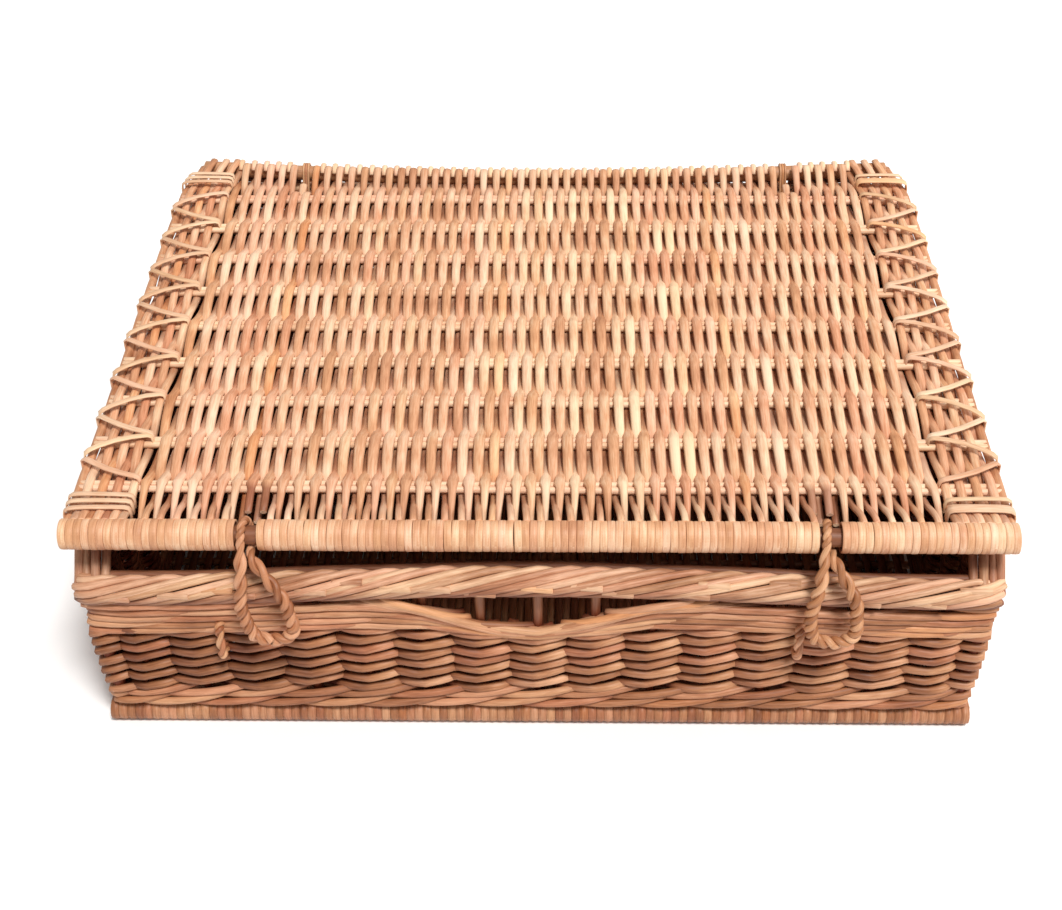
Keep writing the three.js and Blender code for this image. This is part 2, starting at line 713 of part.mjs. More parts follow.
// A fastening loop: two rods twisted together, round the lid's bare front edge stick and down the front.
function fasteningLoop(x, lean) {
  const stick = { y: -lidEdgeY, z: lidPlaneZ };
  const radius = LID_EDGE_STICK_RADIUS + CLEARANCE / 2 + LOOP_STRAND_THICKNESS / 2;
  const hangY = -(frontReach(borderFoot) + BORDER_DEPTH / 2 + CLEARANCE + LOOP_STRAND_WIDTH / 2);
  const half = (LOOP_WIDTH - LOOP_STRAND_WIDTH) / 2 + 3.4;
  const bottom = LOOP_BOTTOM + LOOP_STRAND_WIDTH / 2;
  const middleZ = FRONT_BORDER_TOP - BORDER_HEIGHT / 2;
  const drop = middleZ - bottom;
  const points = [
    [lean, hangY, bottom],
    [lean + 0.75 * half, hangY, bottom + 0.12 * drop],
    [lean + half, hangY, bottom + 0.4 * drop],
    [0.8 * lean + half, hangY, bottom + 0.75 * drop],
    [0.5 * lean + 0.8 * half, hangY, middleZ + 3],
    [0.2 * lean + 0.5 * half, hangY + 1.5, middleZ + 13],
    [3.6, stick.y - radius - 1.6, stick.z - radius - 0.6],
    [2.8, stick.y + 0.2 * radius, stick.z - radius],
    [1.4, stick.y + 0.75 * radius, stick.z - 0.7 * radius],
    [0, stick.y + radius, stick.z],
    [-1.4, stick.y + 0.72 * radius, stick.z + 0.72 * radius],
    [-2.8, stick.y, stick.z + radius],
    [-3.4, stick.y - 0.8 * radius, stick.z + 0.65 * radius],
    [-3.8, stick.y - radius - 1.4, stick.z - 2],
    [0.2 * lean - 0.45 * half, hangY + 1.5, middleZ + 15],
    [0.5 * lean - 0.8 * half, hangY, middleZ + 3],
    [0.8 * lean - half, hangY, bottom + 0.75 * drop],
    [lean - half, hangY, bottom + 0.4 * drop],
    [lean - 0.75 * half, hangY, bottom + 0.12 * drop],
  ].map(([dx, y, z]) => vector(x + dx, y, z));
  const curve = new THREE.CatmullRomCurve3(points, true, "centripetal");
  const { normals, binormals } = curve.computeFrenetFrames(LOOP_STATIONS, true);
  const outlines = Array.from({ length: LOOP_STATIONS }, (_, station) => {
    const at = curve.getPointAt(station / LOOP_STATIONS);
    const nearStick = Math.hypot(at.y - stick.y, at.z - stick.z) < radius + 5;
    const wideHalf = (nearStick ? LOOP_STRAND_THICKNESS : LOOP_STRAND_WIDTH) / 2;
    const thickHalf = LOOP_STRAND_THICKNESS / 2;
    const twist = (2 * Math.PI * LOOP_TWISTS * station) / LOOP_STATIONS;
    return Array.from({ length: 6 }, (_, i) => {
      const angle = (i * Math.PI) / 3;
      const across = Math.hypot(wideHalf * Math.sin(angle - twist), thickHalf * Math.cos(angle - twist));
      const reach = (wideHalf * thickHalf) / across;
      const point = at.clone().addScaledVector(normals[station], reach * Math.cos(angle));
      return point.addScaledVector(binormals[station], reach * Math.sin(angle));
    });
  });
  return skin(outlines, true);
}

// A staple: a small willow ring through the front wall, round one row of the weaving.
function staple(x) {
  const wall = WALLS.front;
  const top = weaveTop("front", x);
  const [lowRow] = rowSpan(STAPLE_ROW, top, 0, "front", Infinity);
  const [, highRow] = rowSpan(STAPLE_ROW, top, 0, "front", Infinity);
  const low = lowRow - ROW_GAP / 2;
  const high = highRow + ROW_GAP / 2;
  const inner = -(WALL_STRAND_THICKNESS / 2 + 1.4 + STAPLE_THICKNESS / 2);
  const half = STAPLE_THICKNESS / 2;
  const outline = [
    [inner, low + 2, 180],
    [inner + 2.4, low, 250],
    [STAPLE_REACH - 3, low, 290],
    [STAPLE_REACH, low + 3, 340],
    [STAPLE_REACH, high - 3, 20],
    [STAPLE_REACH - 3, high, 70],
    [inner + 2.4, high, 110],
    [inner, high - 2, 180],
  ];
  const sections = outline.map(([outward, z, degrees]) => {
    const angle = degToRad(degrees);
    const out = scaled(wall.out, Math.cos(angle)).addScaledVector(Z, Math.sin(angle));
    return section(onWall(wall, x, z, outward), scaled(out, half), scaled(X, half));
  });
  return strand(sections, { ring: true });
}

lid.position.z = lidPlaneZ;
base.position.z = baseHalfThickness;
buildLid();
buildBase();
buildWalls();
["left", "right"].forEach((side, i) => {
  addMesh(root, `hinge_ring_${side}`, hingeRing(ringPlaces[i]), skeinWillow);
  addMesh(root, `staple_${side}`, staple(staplePlaces[i]), loopWillow);
  const lean = i === 0 ? LOOP_LEAN_LEFT : LOOP_LEAN_RIGHT;
  addMesh(root, `fastening_loop_${side}`, fasteningLoop(loopPlaces[i], lean), loopWillow);
});

// The origin is under the middle of the whole box, fastenings included.
const bounds = new THREE.Box3().setFromObject(root);
const middle = bounds.getCenter(vector(0, 0, 0));
const part = new THREE.Group();
root.position.set(-middle.x, -middle.y, -bounds.min.z);
part.add(root);

export default part;
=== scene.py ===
"""A lidded wicker box: a woven lid, four woven walls under a rolled border and two twisted loops."""

import math

import bpy
import numpy as np
from mathutils import Matrix, Vector


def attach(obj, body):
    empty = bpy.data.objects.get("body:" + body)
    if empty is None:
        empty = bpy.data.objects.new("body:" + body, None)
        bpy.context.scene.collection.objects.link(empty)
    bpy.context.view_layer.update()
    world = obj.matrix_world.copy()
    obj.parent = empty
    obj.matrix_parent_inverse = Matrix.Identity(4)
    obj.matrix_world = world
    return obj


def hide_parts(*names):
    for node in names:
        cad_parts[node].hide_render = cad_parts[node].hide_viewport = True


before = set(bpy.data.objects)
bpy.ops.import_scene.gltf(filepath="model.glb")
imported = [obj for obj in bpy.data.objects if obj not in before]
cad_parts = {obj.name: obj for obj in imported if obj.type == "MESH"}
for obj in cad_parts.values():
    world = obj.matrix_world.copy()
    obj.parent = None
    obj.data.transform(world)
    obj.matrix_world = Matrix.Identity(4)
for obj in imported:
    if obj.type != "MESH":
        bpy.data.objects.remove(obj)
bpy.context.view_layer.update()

MM = 0.001
random = np.random.default_rng(11)

# Where the box's parts lie, in millimetres
CENTRE_Y = 3.3
LID_Z = 131.22
LID_FRONT, LID_BACK = -172.78, 179.38
LID_BAY, END_BAY = 35.216, 35.2
LID_ROWS = [LID_FRONT + LID_BAY * i for i in range(1, 10)]
LID_PITCH = 3.8
LID_HALF = 228.4
BAND_INNER, BAND_START, BAND_EDGE = 197.0, 199.6, 229.3
STICK_TURN = 6.9
LOOP_PLACES = (-138.9, 138.9)
RING_PLACES = (-152.4, 152.4)
BASE_Z = 5.78
BASE_FRONT, BASE_BACK = -168.9, 175.5
BASE_ROWS = [BASE_FRONT + 57.4 * i for i in range(1, 6)]
WALL_LOW, BORDER_FOOT = 12.16, 109.0
WALL_FRONT, FRONT_LEAN = -167.3, -8
WALL_BACK, BACK_LEAN = 173.9, 6
WALL_SIDE, SIDE_LEAN = 217.6, 4
BORDER_SIDE, BORDER_BACK, BORDER_Z = 220.4, 179.9, 116.0
STAKE_PITCH, BACK_PITCH = 28.7, 29.6
SLANT = 0.7071

# Inside the basket, where hardly any light comes, the rods have at least this painted shade, and lose this
# share of their tone, which darkens them further as painted shade
HIDDEN_SHADE, HIDDEN_FADE = 0.62, 0.45
# A cut end stands out by this share of its rod's width, its flat part is this share of the rod's section,
# and its shade is at most this
CAP_OUT, CAP_INNER, CAP_SHADE = 0.12, 0.78, 0.3


def smooth(value, low, high):
    """0 below low, 1 above high and an easy curve between."""
    share = np.clip((np.asarray(value, float) - low) / (high - low), 0, 1)
    return share * share * (3 - 2 * share)


def inside(points):
    """1 for points inside the basket, where hardly any light comes, and 0 for its outside and the lid."""
    x, y, z = points.T
    rise = np.clip((z - WALL_LOW) / (BORDER_FOOT - WALL_LOW), 0, 1)
    front = y - WALL_FRONT - FRONT_LEAN * rise - 5 * smooth(z, 89, 94)
    back = WALL_BACK + BACK_LEAN * rise - y
    side = WALL_SIDE + SIDE_LEAN * rise - np.abs(x)
    depth = np.minimum(np.minimum(front, back), side)
    return smooth(depth, -0.5, 3.5) * smooth(z, 3, 6) * (1 - smooth(z, 115, 121))


def unit(vectors):
    return vectors / np.maximum(np.linalg.norm(vectors, axis=-1, keepdims=True), 1e-9)


def carried(tangents):
    """Side directions along a path that turn no more than the path does."""
    first = np.cross(tangents[0], (0, 0, 1))
    if np.linalg.norm(first) < 0.1:
        first = np.cross(tangents[0], (0, 1, 0))
    sides = [unit(first)]
    for tangent in tangents[1:]:
        side = sides[-1] - np.dot(sides[-1], tangent) * tangent
        sides.append(unit(side))
    return np.array(sides)


class Rods:
    """Willow rods that make one piece. Each follows its points with an oval section and cut ends."""

    def __init__(self, name, sides=8, hue_range=(0.0, 1.0)):
        self.name, self.sides, self.hue_range = name, sides, hue_range
        self.points, self.quads, self.caps, self.quad_uvs = [], [], [], []
        self.tones, self.shades, self.hues = [], [], []
        self.count = 0

    def ring_of(self, points, tone, shade):
        self.points.append(points)
        self.tones.append(np.full(len(points), tone) if np.isscalar(tone) else tone)
        self.shades.append(np.full(len(points), shade) if np.isscalar(shade) else shade)
        first = self.count
        self.count += len(points)
        return first

    def add(self, path, wide, thick=None, side=None, tone=None, shade=0.0, ring=False, cut=0.95, square=1.0):
        path = np.asarray(path, float)
        n, m = len(path), self.sides
        thick = wide if thick is None else thick
        wide = np.broadcast_to(np.asarray(wide, float), n)
        thick = np.broadcast_to(np.asarray(thick, float), n)
        tone = random.uniform(0.2, 0.8) if tone is None else tone
        tone = np.broadcast_to(np.asarray(tone, float), n)
        shade = np.broadcast_to(np.asarray(shade, float), n)
        steps = (np.roll(path, -1, 0) - np.roll(path, 1, 0)) if ring else np.gradient(path, axis=0)
        tangent = unit(steps)
        across = carried(tangent) if side is None else np.broadcast_to(np.asarray(side, float), path.shape)
        across = unit(across - (across * tangent).sum(1, keepdims=True) * tangent)
        up = np.cross(tangent, across)
        angle = -math.pi / 2 + 2 * math.pi * np.arange(m) / m
        level, high = (np.sign(v.round(6)) * np.abs(v) ** square for v in (np.cos(angle), np.sin(angle)))
        oval = across[:, None] * (wide[:, None] * level)[:, :, None]
        oval = oval + up[:, None] * (thick[:, None] * high)[:, :, None]
        hoops = path[:, None] + oval
        first = self.ring_of(hoops.reshape(-1, 3), np.repeat(tone, m), np.repeat(shade, m))
        length = np.concatenate([[0], np.cumsum(np.linalg.norm(np.diff(path, axis=0), axis=1))])
        length = length * MM + random.uniform(0, 5)
        i = np.arange(n if ring else n - 1)
        j = np.arange(m)
        here, there = (i[:, None] * m), (((i + 1) % n)[:, None] * m)
        quads = np.stack([here + j, here + (j + 1) % m, there + (j + 1) % m, there + j], -1)
        self.quads.append(first + quads.reshape(-1, 4))
        along = np.stack([length[i], length[i] + 0.004 if ring else length[i + 1]], -1)
        u = np.broadcast_to(along[:, None, [0, 0, 1, 1]], (len(i), m, 4))
        v = np.broadcast_to(np.stack([j, j + 1, j + 1, j], -1)[None] / m, (len(i), m, 4))
        self.quad_uvs.append(np.stack([u, v], -1).reshape(-1, 2))
        for end, sense in () if ring else ((0, -1), (n - 1, 1)):
            middle = path[end] + sense * tangent[end] * CAP_OUT * wide[end]
            inner = middle + (hoops[end] - path[end]) * CAP_INNER
            start = self.ring_of(inner, cut, min(float(shade[end]), CAP_SHADE))
            outer = first + end * m
            a, b = j, (j + 1) % m
            order = [outer + a, outer + b, start + b, start + a]
            if sense < 0:
                order.reverse()
            self.quads.append(np.stack(order, -1))
            self.quad_uvs.append(np.tile([[length[end], 0.5]], (4 * m, 1)))
            self.caps.append(start + (j[::-1] if sense < 0 else j))
        self.hues.append(np.full(self.count - first, random.uniform(*self.hue_range)))

    def piece(self, body, slot, material, *nodes):
        quads = np.concatenate(self.quads)
        faces = quads.tolist() + [cap.tolist() for cap in self.caps]
        mesh = bpy.data.meshes.new(self.name)
        mesh.from_pydata((np.concatenate(self.points) * MM).tolist(), [], faces)
        flat = len(quads)
        mesh.polygons.foreach_set("use_smooth", [k < flat for k in range(len(faces))])
        # Rods inside the basket get painted shade: a higher shade and a lower tone
        hidden = inside(np.concatenate(self.points)) if body == "basket" else 0
        shades = np.maximum(np.concatenate(self.shades), HIDDEN_SHADE * hidden)
        tones = np.concatenate(self.tones) * (1 - HIDDEN_FADE * hidden)
        for name, values in (("tone", tones), ("shade", shades), ("hue", np.concatenate(self.hues))):
            attribute = mesh.attributes.new(name, "FLOAT", "POINT")
            attribute.data.foreach_set("value", values.astype(np.float32))
        uvs = np.concatenate(self.quad_uvs + [np.full((self.sides * len(self.caps), 2), 0.5)])
        mesh.uv_layers.new(name="Along").data.foreach_set("uv", uvs.astype(np.float32).ravel())
        mesh.materials.append(material)
        mesh.update()
        made = bpy.data.objects.new(self.name, mesh)
        bpy.context.scene.collection.objects.link(made)
        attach(made, body)
        if nodes:
            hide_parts(*nodes)


class Wire:
    """A number in a material. Sums and products of wires make Math nodes."""

    def __init__(self, tree, socket):
        self.tree, self.socket = tree, socket

    def made(self, kind, settings, inputs, output=0):
        node = self.tree.nodes.new(kind)
        for name, value in settings.items():
            setattr(node, name, value)
        for place, value in inputs.items():
            if isinstance(value, Wire):
                self.tree.links.new(value.socket, node.inputs[place])
            else:
                node.inputs[place].default_value = value
        return Wire(self.tree, node.outputs[output])

    def maths(self, operation, other, clamp=False):
        return self.made("ShaderNodeMath", {"operation": operation, "use_clamp": clamp}, {0: self, 1: other})

    def __add__(self, other):
        return self.maths("ADD", other)

    def __sub__(self, other):
        return self.maths("SUBTRACT", other)

    def __mul__(self, other):
        return self.maths("MULTIPLY", other)

    def held(self):
        return self.maths("ADD", 0.0, clamp=True)


def colour(red, green, blue):
    """A linear colour from one as it looks on a screen."""
    parts = [c / 255 for c in (red, green, blue)]
    return tuple(c / 12.92 if c <= 0.04045 else ((c + 0.055) / 1.055) ** 2.4 for c in parts) + (1.0,)


def willow(name, dark, middle, light, roughness=0.5, grain_share=0.45, shading=0.75):
    """Peeled willow: each rod has its own tone, with fine fibres along it and blotches, and painted shade
    from its shade attribute, which darkens recesses.
    """
    material = bpy.data.materials.new(name)
    material.use_nodes = True
    tree = material.node_tree
    shader = tree.nodes["Principled BSDF"]
    start = Wire(tree, None)
    along = start.made("ShaderNodeUVMap", {"uv_map": "Along"}, {})
    tone = start.made("ShaderNodeAttribute", {"attribute_name": "tone"}, {}, 2)
    shade = start.made("ShaderNodeAttribute", {"attribute_name": "shade"}, {}, 2)
    place = start.made("ShaderNodeTexCoord", {}, {}, 3)
    fibre_at = start.made("ShaderNodeVectorMath", {"operation": "MULTIPLY"}, {0: along, 1: (90.0, 14.0, 0.0)})
    fibre = start.made("ShaderNodeTexNoise", {}, {
        "Vector": fibre_at, "Scale": 1.0, "Detail": 4.0, "Roughness": 0.6})
    blotch = start.made("ShaderNodeTexNoise", {}, {"Vector": place, "Scale": 55.0, "Detail": 2.0})
    level = tone * 0.8 + (fibre - 0.5) * grain_share * 2 + (blotch - 0.5) * 0.5 + 0.1
    ramp = tree.nodes.new("ShaderNodeValToRGB")
    ramp.color_ramp.elements[0].position = 0.08
    ramp.color_ramp.elements[0].color = dark
    ramp.color_ramp.elements[1].position = 0.95
    ramp.color_ramp.elements[1].color = light
    ramp.color_ramp.elements.new(0.5).color = middle
    tree.links.new(level.held().socket, ramp.inputs["Fac"])
    hue = start.made("ShaderNodeAttribute", {"attribute_name": "hue"}, {}, 2)
    tints = tree.nodes.new("ShaderNodeValToRGB")
    tints.color_ramp.elements[0].color = (1.0, 0.86, 0.84, 1)
    tints.color_ramp.elements[1].color = (1.0, 0.8, 0.6, 1)
    tints.color_ramp.elements.new(0.35).color = (1.0, 0.97, 0.96, 1)
    tints.color_ramp.elements.new(0.92).color = (1.0, 0.98, 0.9, 1)
    tree.links.new(hue.socket, tints.inputs["Fac"])
    tinted = start.made("ShaderNodeMix", {"data_type": "RGBA", "blend_type": "MULTIPLY"}, {
        0: 1.0, 6: Wire(tree, ramp.outputs["Color"]), 7: Wire(tree, tints.outputs["Color"])}, 2)
    # Painted shade: the shade attribute, scaled by shading, multiplies the colour towards this dark brown
    painted_shade = start.made("ShaderNodeMix", {"data_type": "RGBA", "blend_type": "MULTIPLY"}, {
        0: (shade * shading).held(), 6: tinted, 7: colour(138, 72, 38)}, 2)
    tree.links.new(painted_shade.socket, shader.inputs["Base Color"])
    shader.inputs["Roughness"].default_value = roughness
    shader.inputs["Specular IOR Level"].default_value = 0.4
    bump = start.made("ShaderNodeBump", {}, {"Height": fibre, "Strength": 0.35, "Distance": 0.0004})
    tree.links.new(bump.socket, shader.inputs["Normal"])
    return material


lid_willow = willow("lid willow", colour(158, 98, 62), colour(212, 158, 120), colour(246, 214, 182))
wall_willow = willow(
    "wall willow", colour(124, 74, 44), colour(176, 120, 84), colour(220, 170, 132), shading=1.0)
stick_willow = willow(
    "stick willow", colour(140, 92, 58), colour(190, 140, 102), colour(226, 182, 144), shading=1.0)
border_willow = willow(
    "border willow", colour(118, 70, 40), colour(180, 130, 96), colour(232, 192, 158), shading=1.0)
skein_willow = willow(
    "split willow", colour(170, 122, 88), colour(214, 170, 134), colour(242, 212, 182), 0.45)
loop_willow = willow(
    "orange willow", colour(130, 76, 42), colour(184, 128, 90), colour(230, 182, 144), 0.45)
# Dark colours for the cores inside the rolled borders: painted shade
core_willow = willow("shaded willow", colour(60, 30, 16), colour(88, 48, 26), colour(110, 64, 38))


# The lid

def back_sag(x):
    """How far behind its straight place the lid's back edge lies: less in the middle than at its ends."""
    return 3.2 - 6.4 * np.cos(np.pi * np.asarray(x) / 456.4)


def corner_in(y):
    """How far the lid's sides curve in towards the ends of the back edge."""
    return 7.0 * smooth(y, 145, 188) ** 1.3


def near(x, places, reach):
    return any(abs(x - place) < reach for place in places)


# How far a lid rod rises over and falls under its sticks, how far it leans aside, and its stations in a bay
LIFT, LEAN = 3.3, 0.35
BAY_SHARES = (0, 0.05, 0.11, 0.18, 0.27, 0.4, 0.56, 0.78)
# In the bays next to the edge sticks: the share of the bay, and the height of a rod that goes under or over
UNDER_FRONT = (
    (0.86, -5.0), (0.78, -4.2), (0.68, -2.8), (0.56, -1.0), (0.44, 0.8), (0.32, 2.2), (0.2, 3.1), (0.1, 3.5))
OVER_FRONT = (
    (0.9, 6.0), (0.8, 5.8), (0.7, 5.0), (0.58, 3.4), (0.44, 1.0), (0.3, -1.3), (0.17, -2.8), (0.07, -3.5))
OVER_BACK = ((0, -3.5), (0.2, -2.0), (0.4, 1.2), (0.58, 4.5), (0.7, 6.0), (0.8, 6.7), (0.87, 6.9))
UNDER_BACK = ((0, 3.6), (0.15, 3.1), (0.35, 1.2), (0.55, -1.2), (0.75, -3.4), (0.92, -5.0), (1.07, -5.4))
# The tip of a rod that goes under comes round the back edge stick and is cut off in front of it
TIP = ((2.6, 4.9), (0.4, 6.1), (-2.0, 6.0), (-4.2, 4.7), (-5.6, 3.3))
# The back edge stick rises by this share of its sag
SAG_RISE = 0.55


def lid_rod(rods, k, x):
    """One rod of the lid, from the front edge to the back one, over and under the pairs of sticks."""
    wander = random.normal(0, 0.16, 3)
    fat = random.uniform(0.95, 1.05)
    stations = []

    def put(dx, y, z, wide, shade):
        stations.append((x + dx, y, LID_Z + z, wide * fat, shade))

    sense = 1 if k % 2 == 0 else -1
    if near(x, LOOP_PLACES, 6.6):
        for share in (0.5, 0.36, 0.24, 0.12):
            put(0, LID_ROWS[0] - END_BAY * share, sense * LIFT - 8.0 * share, 2.0, 0.85)
    elif sense > 0:
        for share, z in UNDER_FRONT:
            put(5.0 * share * wander[2], LID_ROWS[0] - END_BAY * share, z, 2.4 - 1.7 * share, 0.35 * share)
    else:
        for share, z in OVER_FRONT:
            dx = 2.0 * share * (1 + 2 * wander[2])
            put(dx, LID_ROWS[0] - END_BAY * share, z, 1.75, 0.75 * (1 - share))
    for y in LID_ROWS[:-1]:
        for share in BAY_SHARES:
            # A rod that climbs towards the front stays low for most of the bay, between its two neighbours
            high = sense * math.cos(math.pi * share**0.52)
            wide = 2.95 - 0.2 * share if sense > 0 else 2.4 + 0.5 * share
            dx = wander[0] * math.sin(y / 60 + k) + wander[1] * math.sin((y + 35 * share) / 25 + 2 * k)
            if sense > 0:
                shade = 0.85 * float(smooth(share, 0.0, 0.9))
            else:
                shade = 0.25 * float(smooth(1 - share, 0.6, 1.0))
            put(dx - LEAN * high, y + LID_BAY * share, LIFT * high, wide, shade)
        sense = -sense
    # Beside a hinge ring a rod ends halfway, low enough to leave the ring free
    ringed = near(x, RING_PLACES, 5.0)
    sag = float(back_sag(x))
    bay = END_BAY * (0.5 if ringed else 1.0) + sag
    if sense < 0:
        for share, z in OVER_BACK:
            height = (z + sag * 0.5 * share) * (0.3 if ringed else 1)
            put(0, LID_ROWS[-1] + bay * share, height, 1.7 + 0.9 * share, 0.5 * (1 - share))
    else:
        for share, z in UNDER_BACK:
            put(0, LID_ROWS[-1] + bay * share, z + sag * 0.5 * share, 2.6 - 0.4 * share, 0.7 * share)
        if not ringed:
            tip = [(x, LID_BACK + sag + dy, LID_Z + SAG_RISE * sag + dz) for dy, dz in TIP]
            rods.add(tip, 1.75, 1.3, (1, 0, 0), 0.95, cut=1.0)
    table = np.array(stations)
    own = random.uniform(0.45, 0.95)
    tones = own + 0.1 * np.sin(table[:, 1] / 33 + 3 * k) + 0.06 * np.sin(table[:, 1] / 9 + k)
    rods.add(table[:, :3], table[:, 3], 1.6 * fat, (1, 0, 0), np.clip(tones, 0, 1), table[:, 4])


def band_rod(rods, k, x):
    """One of the close rods of an end band."""
    sag = float(back_sag(x))
    y = np.linspace(LID_FRONT + 3.5, LID_BACK + sag + (1.5 if k % 2 else -1.5), 74)
    wave = (-1.0) ** k * np.cos(np.pi * (y - LID_ROWS[0]) / LID_BAY)
    ends = smooth(y, LID_FRONT + 3, LID_FRONT + 24)
    tail = smooth(y, LID_BACK - 26, LID_BACK - 4)
    z = LID_Z + 2.6 * wave * ends * (1 - tail) + 5.6 * (1 - ends) + (6.7 if k % 2 else 2.2) * tail
    path = np.stack([x - math.copysign(1, x) * corner_in(y) + 0.25 * np.sin(y / 37 + k), y, z], -1)
    tones = random.uniform(0.35, 0.75) + 0.1 * np.sin(y / 30 + k)
    rods.add(path, 2.4, 1.7 - 0.25 * tail, (1, 0, 0), tones, 0.55 * (1 - smooth(wave, -0.9, 0.4)))


left_half, right_half = Rods("lid_weaving_left"), Rods("lid_weaving_right")
columns = int(390 / LID_PITCH) + 1
for k in range(columns):
    x = (k - (columns - 1) / 2) * LID_PITCH + 0.8 * math.sin(k / 3.3)
    lid_rod(left_half if x < 0 else right_half, k, x)
for hand, half in ((-1, left_half), (1, right_half)):
    for k in range(7):
        band_rod(half, k, hand * (BAND_START + LID_PITCH * k))
    # The outermost rod of the lid's side
    y = np.linspace(LID_FRONT + 2, LID_BACK + 5.5, 60)
    bumps = 1 + 0.05 * np.sin(y / 5.5) + 0.03 * np.sin(y / 13)
    x = hand * (226.9 - corner_in(y) + 0.3 * np.sin(y / 40))
    edge = np.stack([x, y, LID_Z - 0.4 + 0.3 * np.sin(y / 29)], -1)
    half.add(edge, 2.55 * bumps, tone=0.4 + 0.15 * np.sin(y / 44), shade=0.1)
left_half.piece("lid", "weave_willow", lid_willow, "lid_weave")
right_half.piece("lid", "weave_willow", lid_willow)

# Turns of rod round the front edge stick, with a window where each loop passes
wraps = Rods("lid_front_wraps", 12, (0.3, 0.93))
turn = np.linspace(0, 2 * math.pi, 26, endpoint=False)
left_loop, right_loop = LOOP_PLACES
window = 5.4
stretches = (
    (-LID_HALF, left_loop - window),
    (left_loop + window, right_loop - window),
    (right_loop + window, LID_HALF),
)
for start, end in stretches:
    number = round((end - start) / 3.7)
    pitch = (end - start) / number
    for k in range(number):
        x = start + (k + 0.5) * pitch
        ways = np.stack([np.zeros(26), -np.cos(turn), np.sin(turn)], -1)
        path = np.array([x, LID_FRONT, LID_Z]) + (STICK_TURN + random.normal(0, 0.06)) * ways
        path[:, 0] += random.normal(0, 0.12) * np.sin(turn + k)
        # Painted shade on the underside of each turn
        under = 0.9 * smooth(-np.sin(turn + 0.35), -0.4, 0.7)
        tone = random.uniform(0.42, 0.74) + 0.06 * np.sin(turn * 2 + k)
        wraps.add(path, pitch / 2 + 0.05, 0.75, (1, 0, 0), np.clip(tone, 0, 1), under, ring=True, square=0.5)
wraps.piece("lid", "weave_willow", lid_willow)

lid_sticks = Rods("lid_stick_pairs")
for y in LID_ROWS:
    for side in (-1, 1):
        xs = np.linspace(-227, 227, 60)
        wave = 0.25 * np.sin(xs / 31 + random.uniform(0, 6))
        place = np.stack([xs, y + 1.8 * side + wave, np.full(60, LID_Z + 0.8)], -1)
        lid_sticks.add(place, 1.85, tone=random.uniform(0.75, 1.0))
lid_sticks.piece("lid", "stick_willow", lid_willow, *[f"lid_stick_{i}" for i in range(1, 10)])

edges = Rods("lid_edge_sticks", 16)
xs = np.linspace(-228.2, 228.2, 80)
edges.add(np.stack([xs, np.full(80, LID_FRONT), np.full(80, LID_Z)], -1), 4.6, tone=0.4, shade=0.7)
knots = 1 + 0.03 * np.sin(xs / 23) + 0.02 * np.sin(xs / 9)
sag = back_sag(xs * 0.955)
back = np.stack([xs * 0.955, LID_BACK + sag, LID_Z + SAG_RISE * sag + 0.2 * np.sin(xs / 61)], -1)
edges.add(back, 4.7 * knots, tone=0.45 + 0.1 * np.sin(xs / 50), shade=0.1)
# Thin rods under the back edge stick, on both sides of each hinge ring, darkened with painted shade
for start, end in ((131, 147.5), (157, 206)):
    for hand in (-1, 1):
        xs = hand * np.linspace(start, end, 12)
        sag = back_sag(xs)
        path = np.stack([xs, LID_BACK + sag - 0.6, LID_Z + SAG_RISE * sag - 5.9], -1)
        edges.add(path, 1.7, tone=0.2, shade=0.8)
edges.piece("lid", "stick_willow", stick_willow, "lid_front_edge_stick", "lid_back_edge_stick")


# A flat strip over an end band: the share of its way out, its height, and the share of its way along
STRIP = (
    (0, -7.5, 0), (0.0, -3, 0), (0.02, -0.6, 0.0), (0.08, 0.1, 0.02), (0.3, 0.35, 0.15), (0.55, 0.45, 0.38),
    (0.8, 0.3, 0.72), (0.92, -0.15, 0.92), (0.985, -1.6, 1), (1, -4.2, 1), (1, -9.5, 1), (0.96, -13.2, 1),
)
STRIP_Z = 137.4


def flat_turn(rods, x_in, x_out, y_in, y_out, wide, tone=None):
    """A flat strip of split willow from the gap inside an end band, over the band and down round its edge."""
    hand = math.copysign(1, x_out)
    reach = x_out - x_in
    path = [(x_in + reach * a, y_in + (y_out - y_in) * c, STRIP_Z + b) for a, b, c in STRIP]
    level = np.array([(0, 0, 1)] * len(path), float)
    level[:2] = (-hand, 0, 0)
    level[-3:] = (hand, 0, 0)
    forward = unit(np.gradient(np.array(path), axis=0))
    side = unit(np.cross(level, forward))
    rods.add(path, wide, 0.55, side, random.uniform(0.55, 0.95) if tone is None else tone, square=0.75)


for hand, word in ((-1, "left"), (1, "right")):
    lashing = Rods(f"lid_lashing_{word}", 8)
    for row, y in enumerate(LID_ROWS):
        inner = hand * (BAND_INNER + random.normal(0, 0.3))
        for way in (-1, 1):
            if (row == 0 and way < 0) or (row == 8 and way > 0):
                continue
            y_out = y + way * 15.6 + random.normal(0, 0.5)
            flat_turn(lashing, inner, hand * BAND_EDGE, y + way, y_out, 1.85)
    lashing.piece("lid", "skein_willow", skein_willow, f"lid_lashing_{word}")
    for end, middle in (("front", -155.4), ("back", 162.0)):
        binding = Rods(f"lid_corner_binding_{end}_{word}", 8)
        turns = [(-5.5, 1.6), (0, 1.6), (5.2, 1.6)] if word == "left" else [(-3.4, 3.1), (4.2, 1.5)]
        for offset, wide in turns:
            y = middle + offset
            x_out = hand * (BAND_EDGE - float(corner_in(y)))
            tone = random.uniform(0.6, 0.9)
            flat_turn(binding, hand * BAND_INNER, x_out, y - 0.12 * offset, y, wide, tone)
        binding.piece("lid", "skein_willow", skein_willow, f"lid_corner_binding_{end}_{word}")


# The walls, as upright warps that the rods go round: where each stands, how it leans, and which way is out

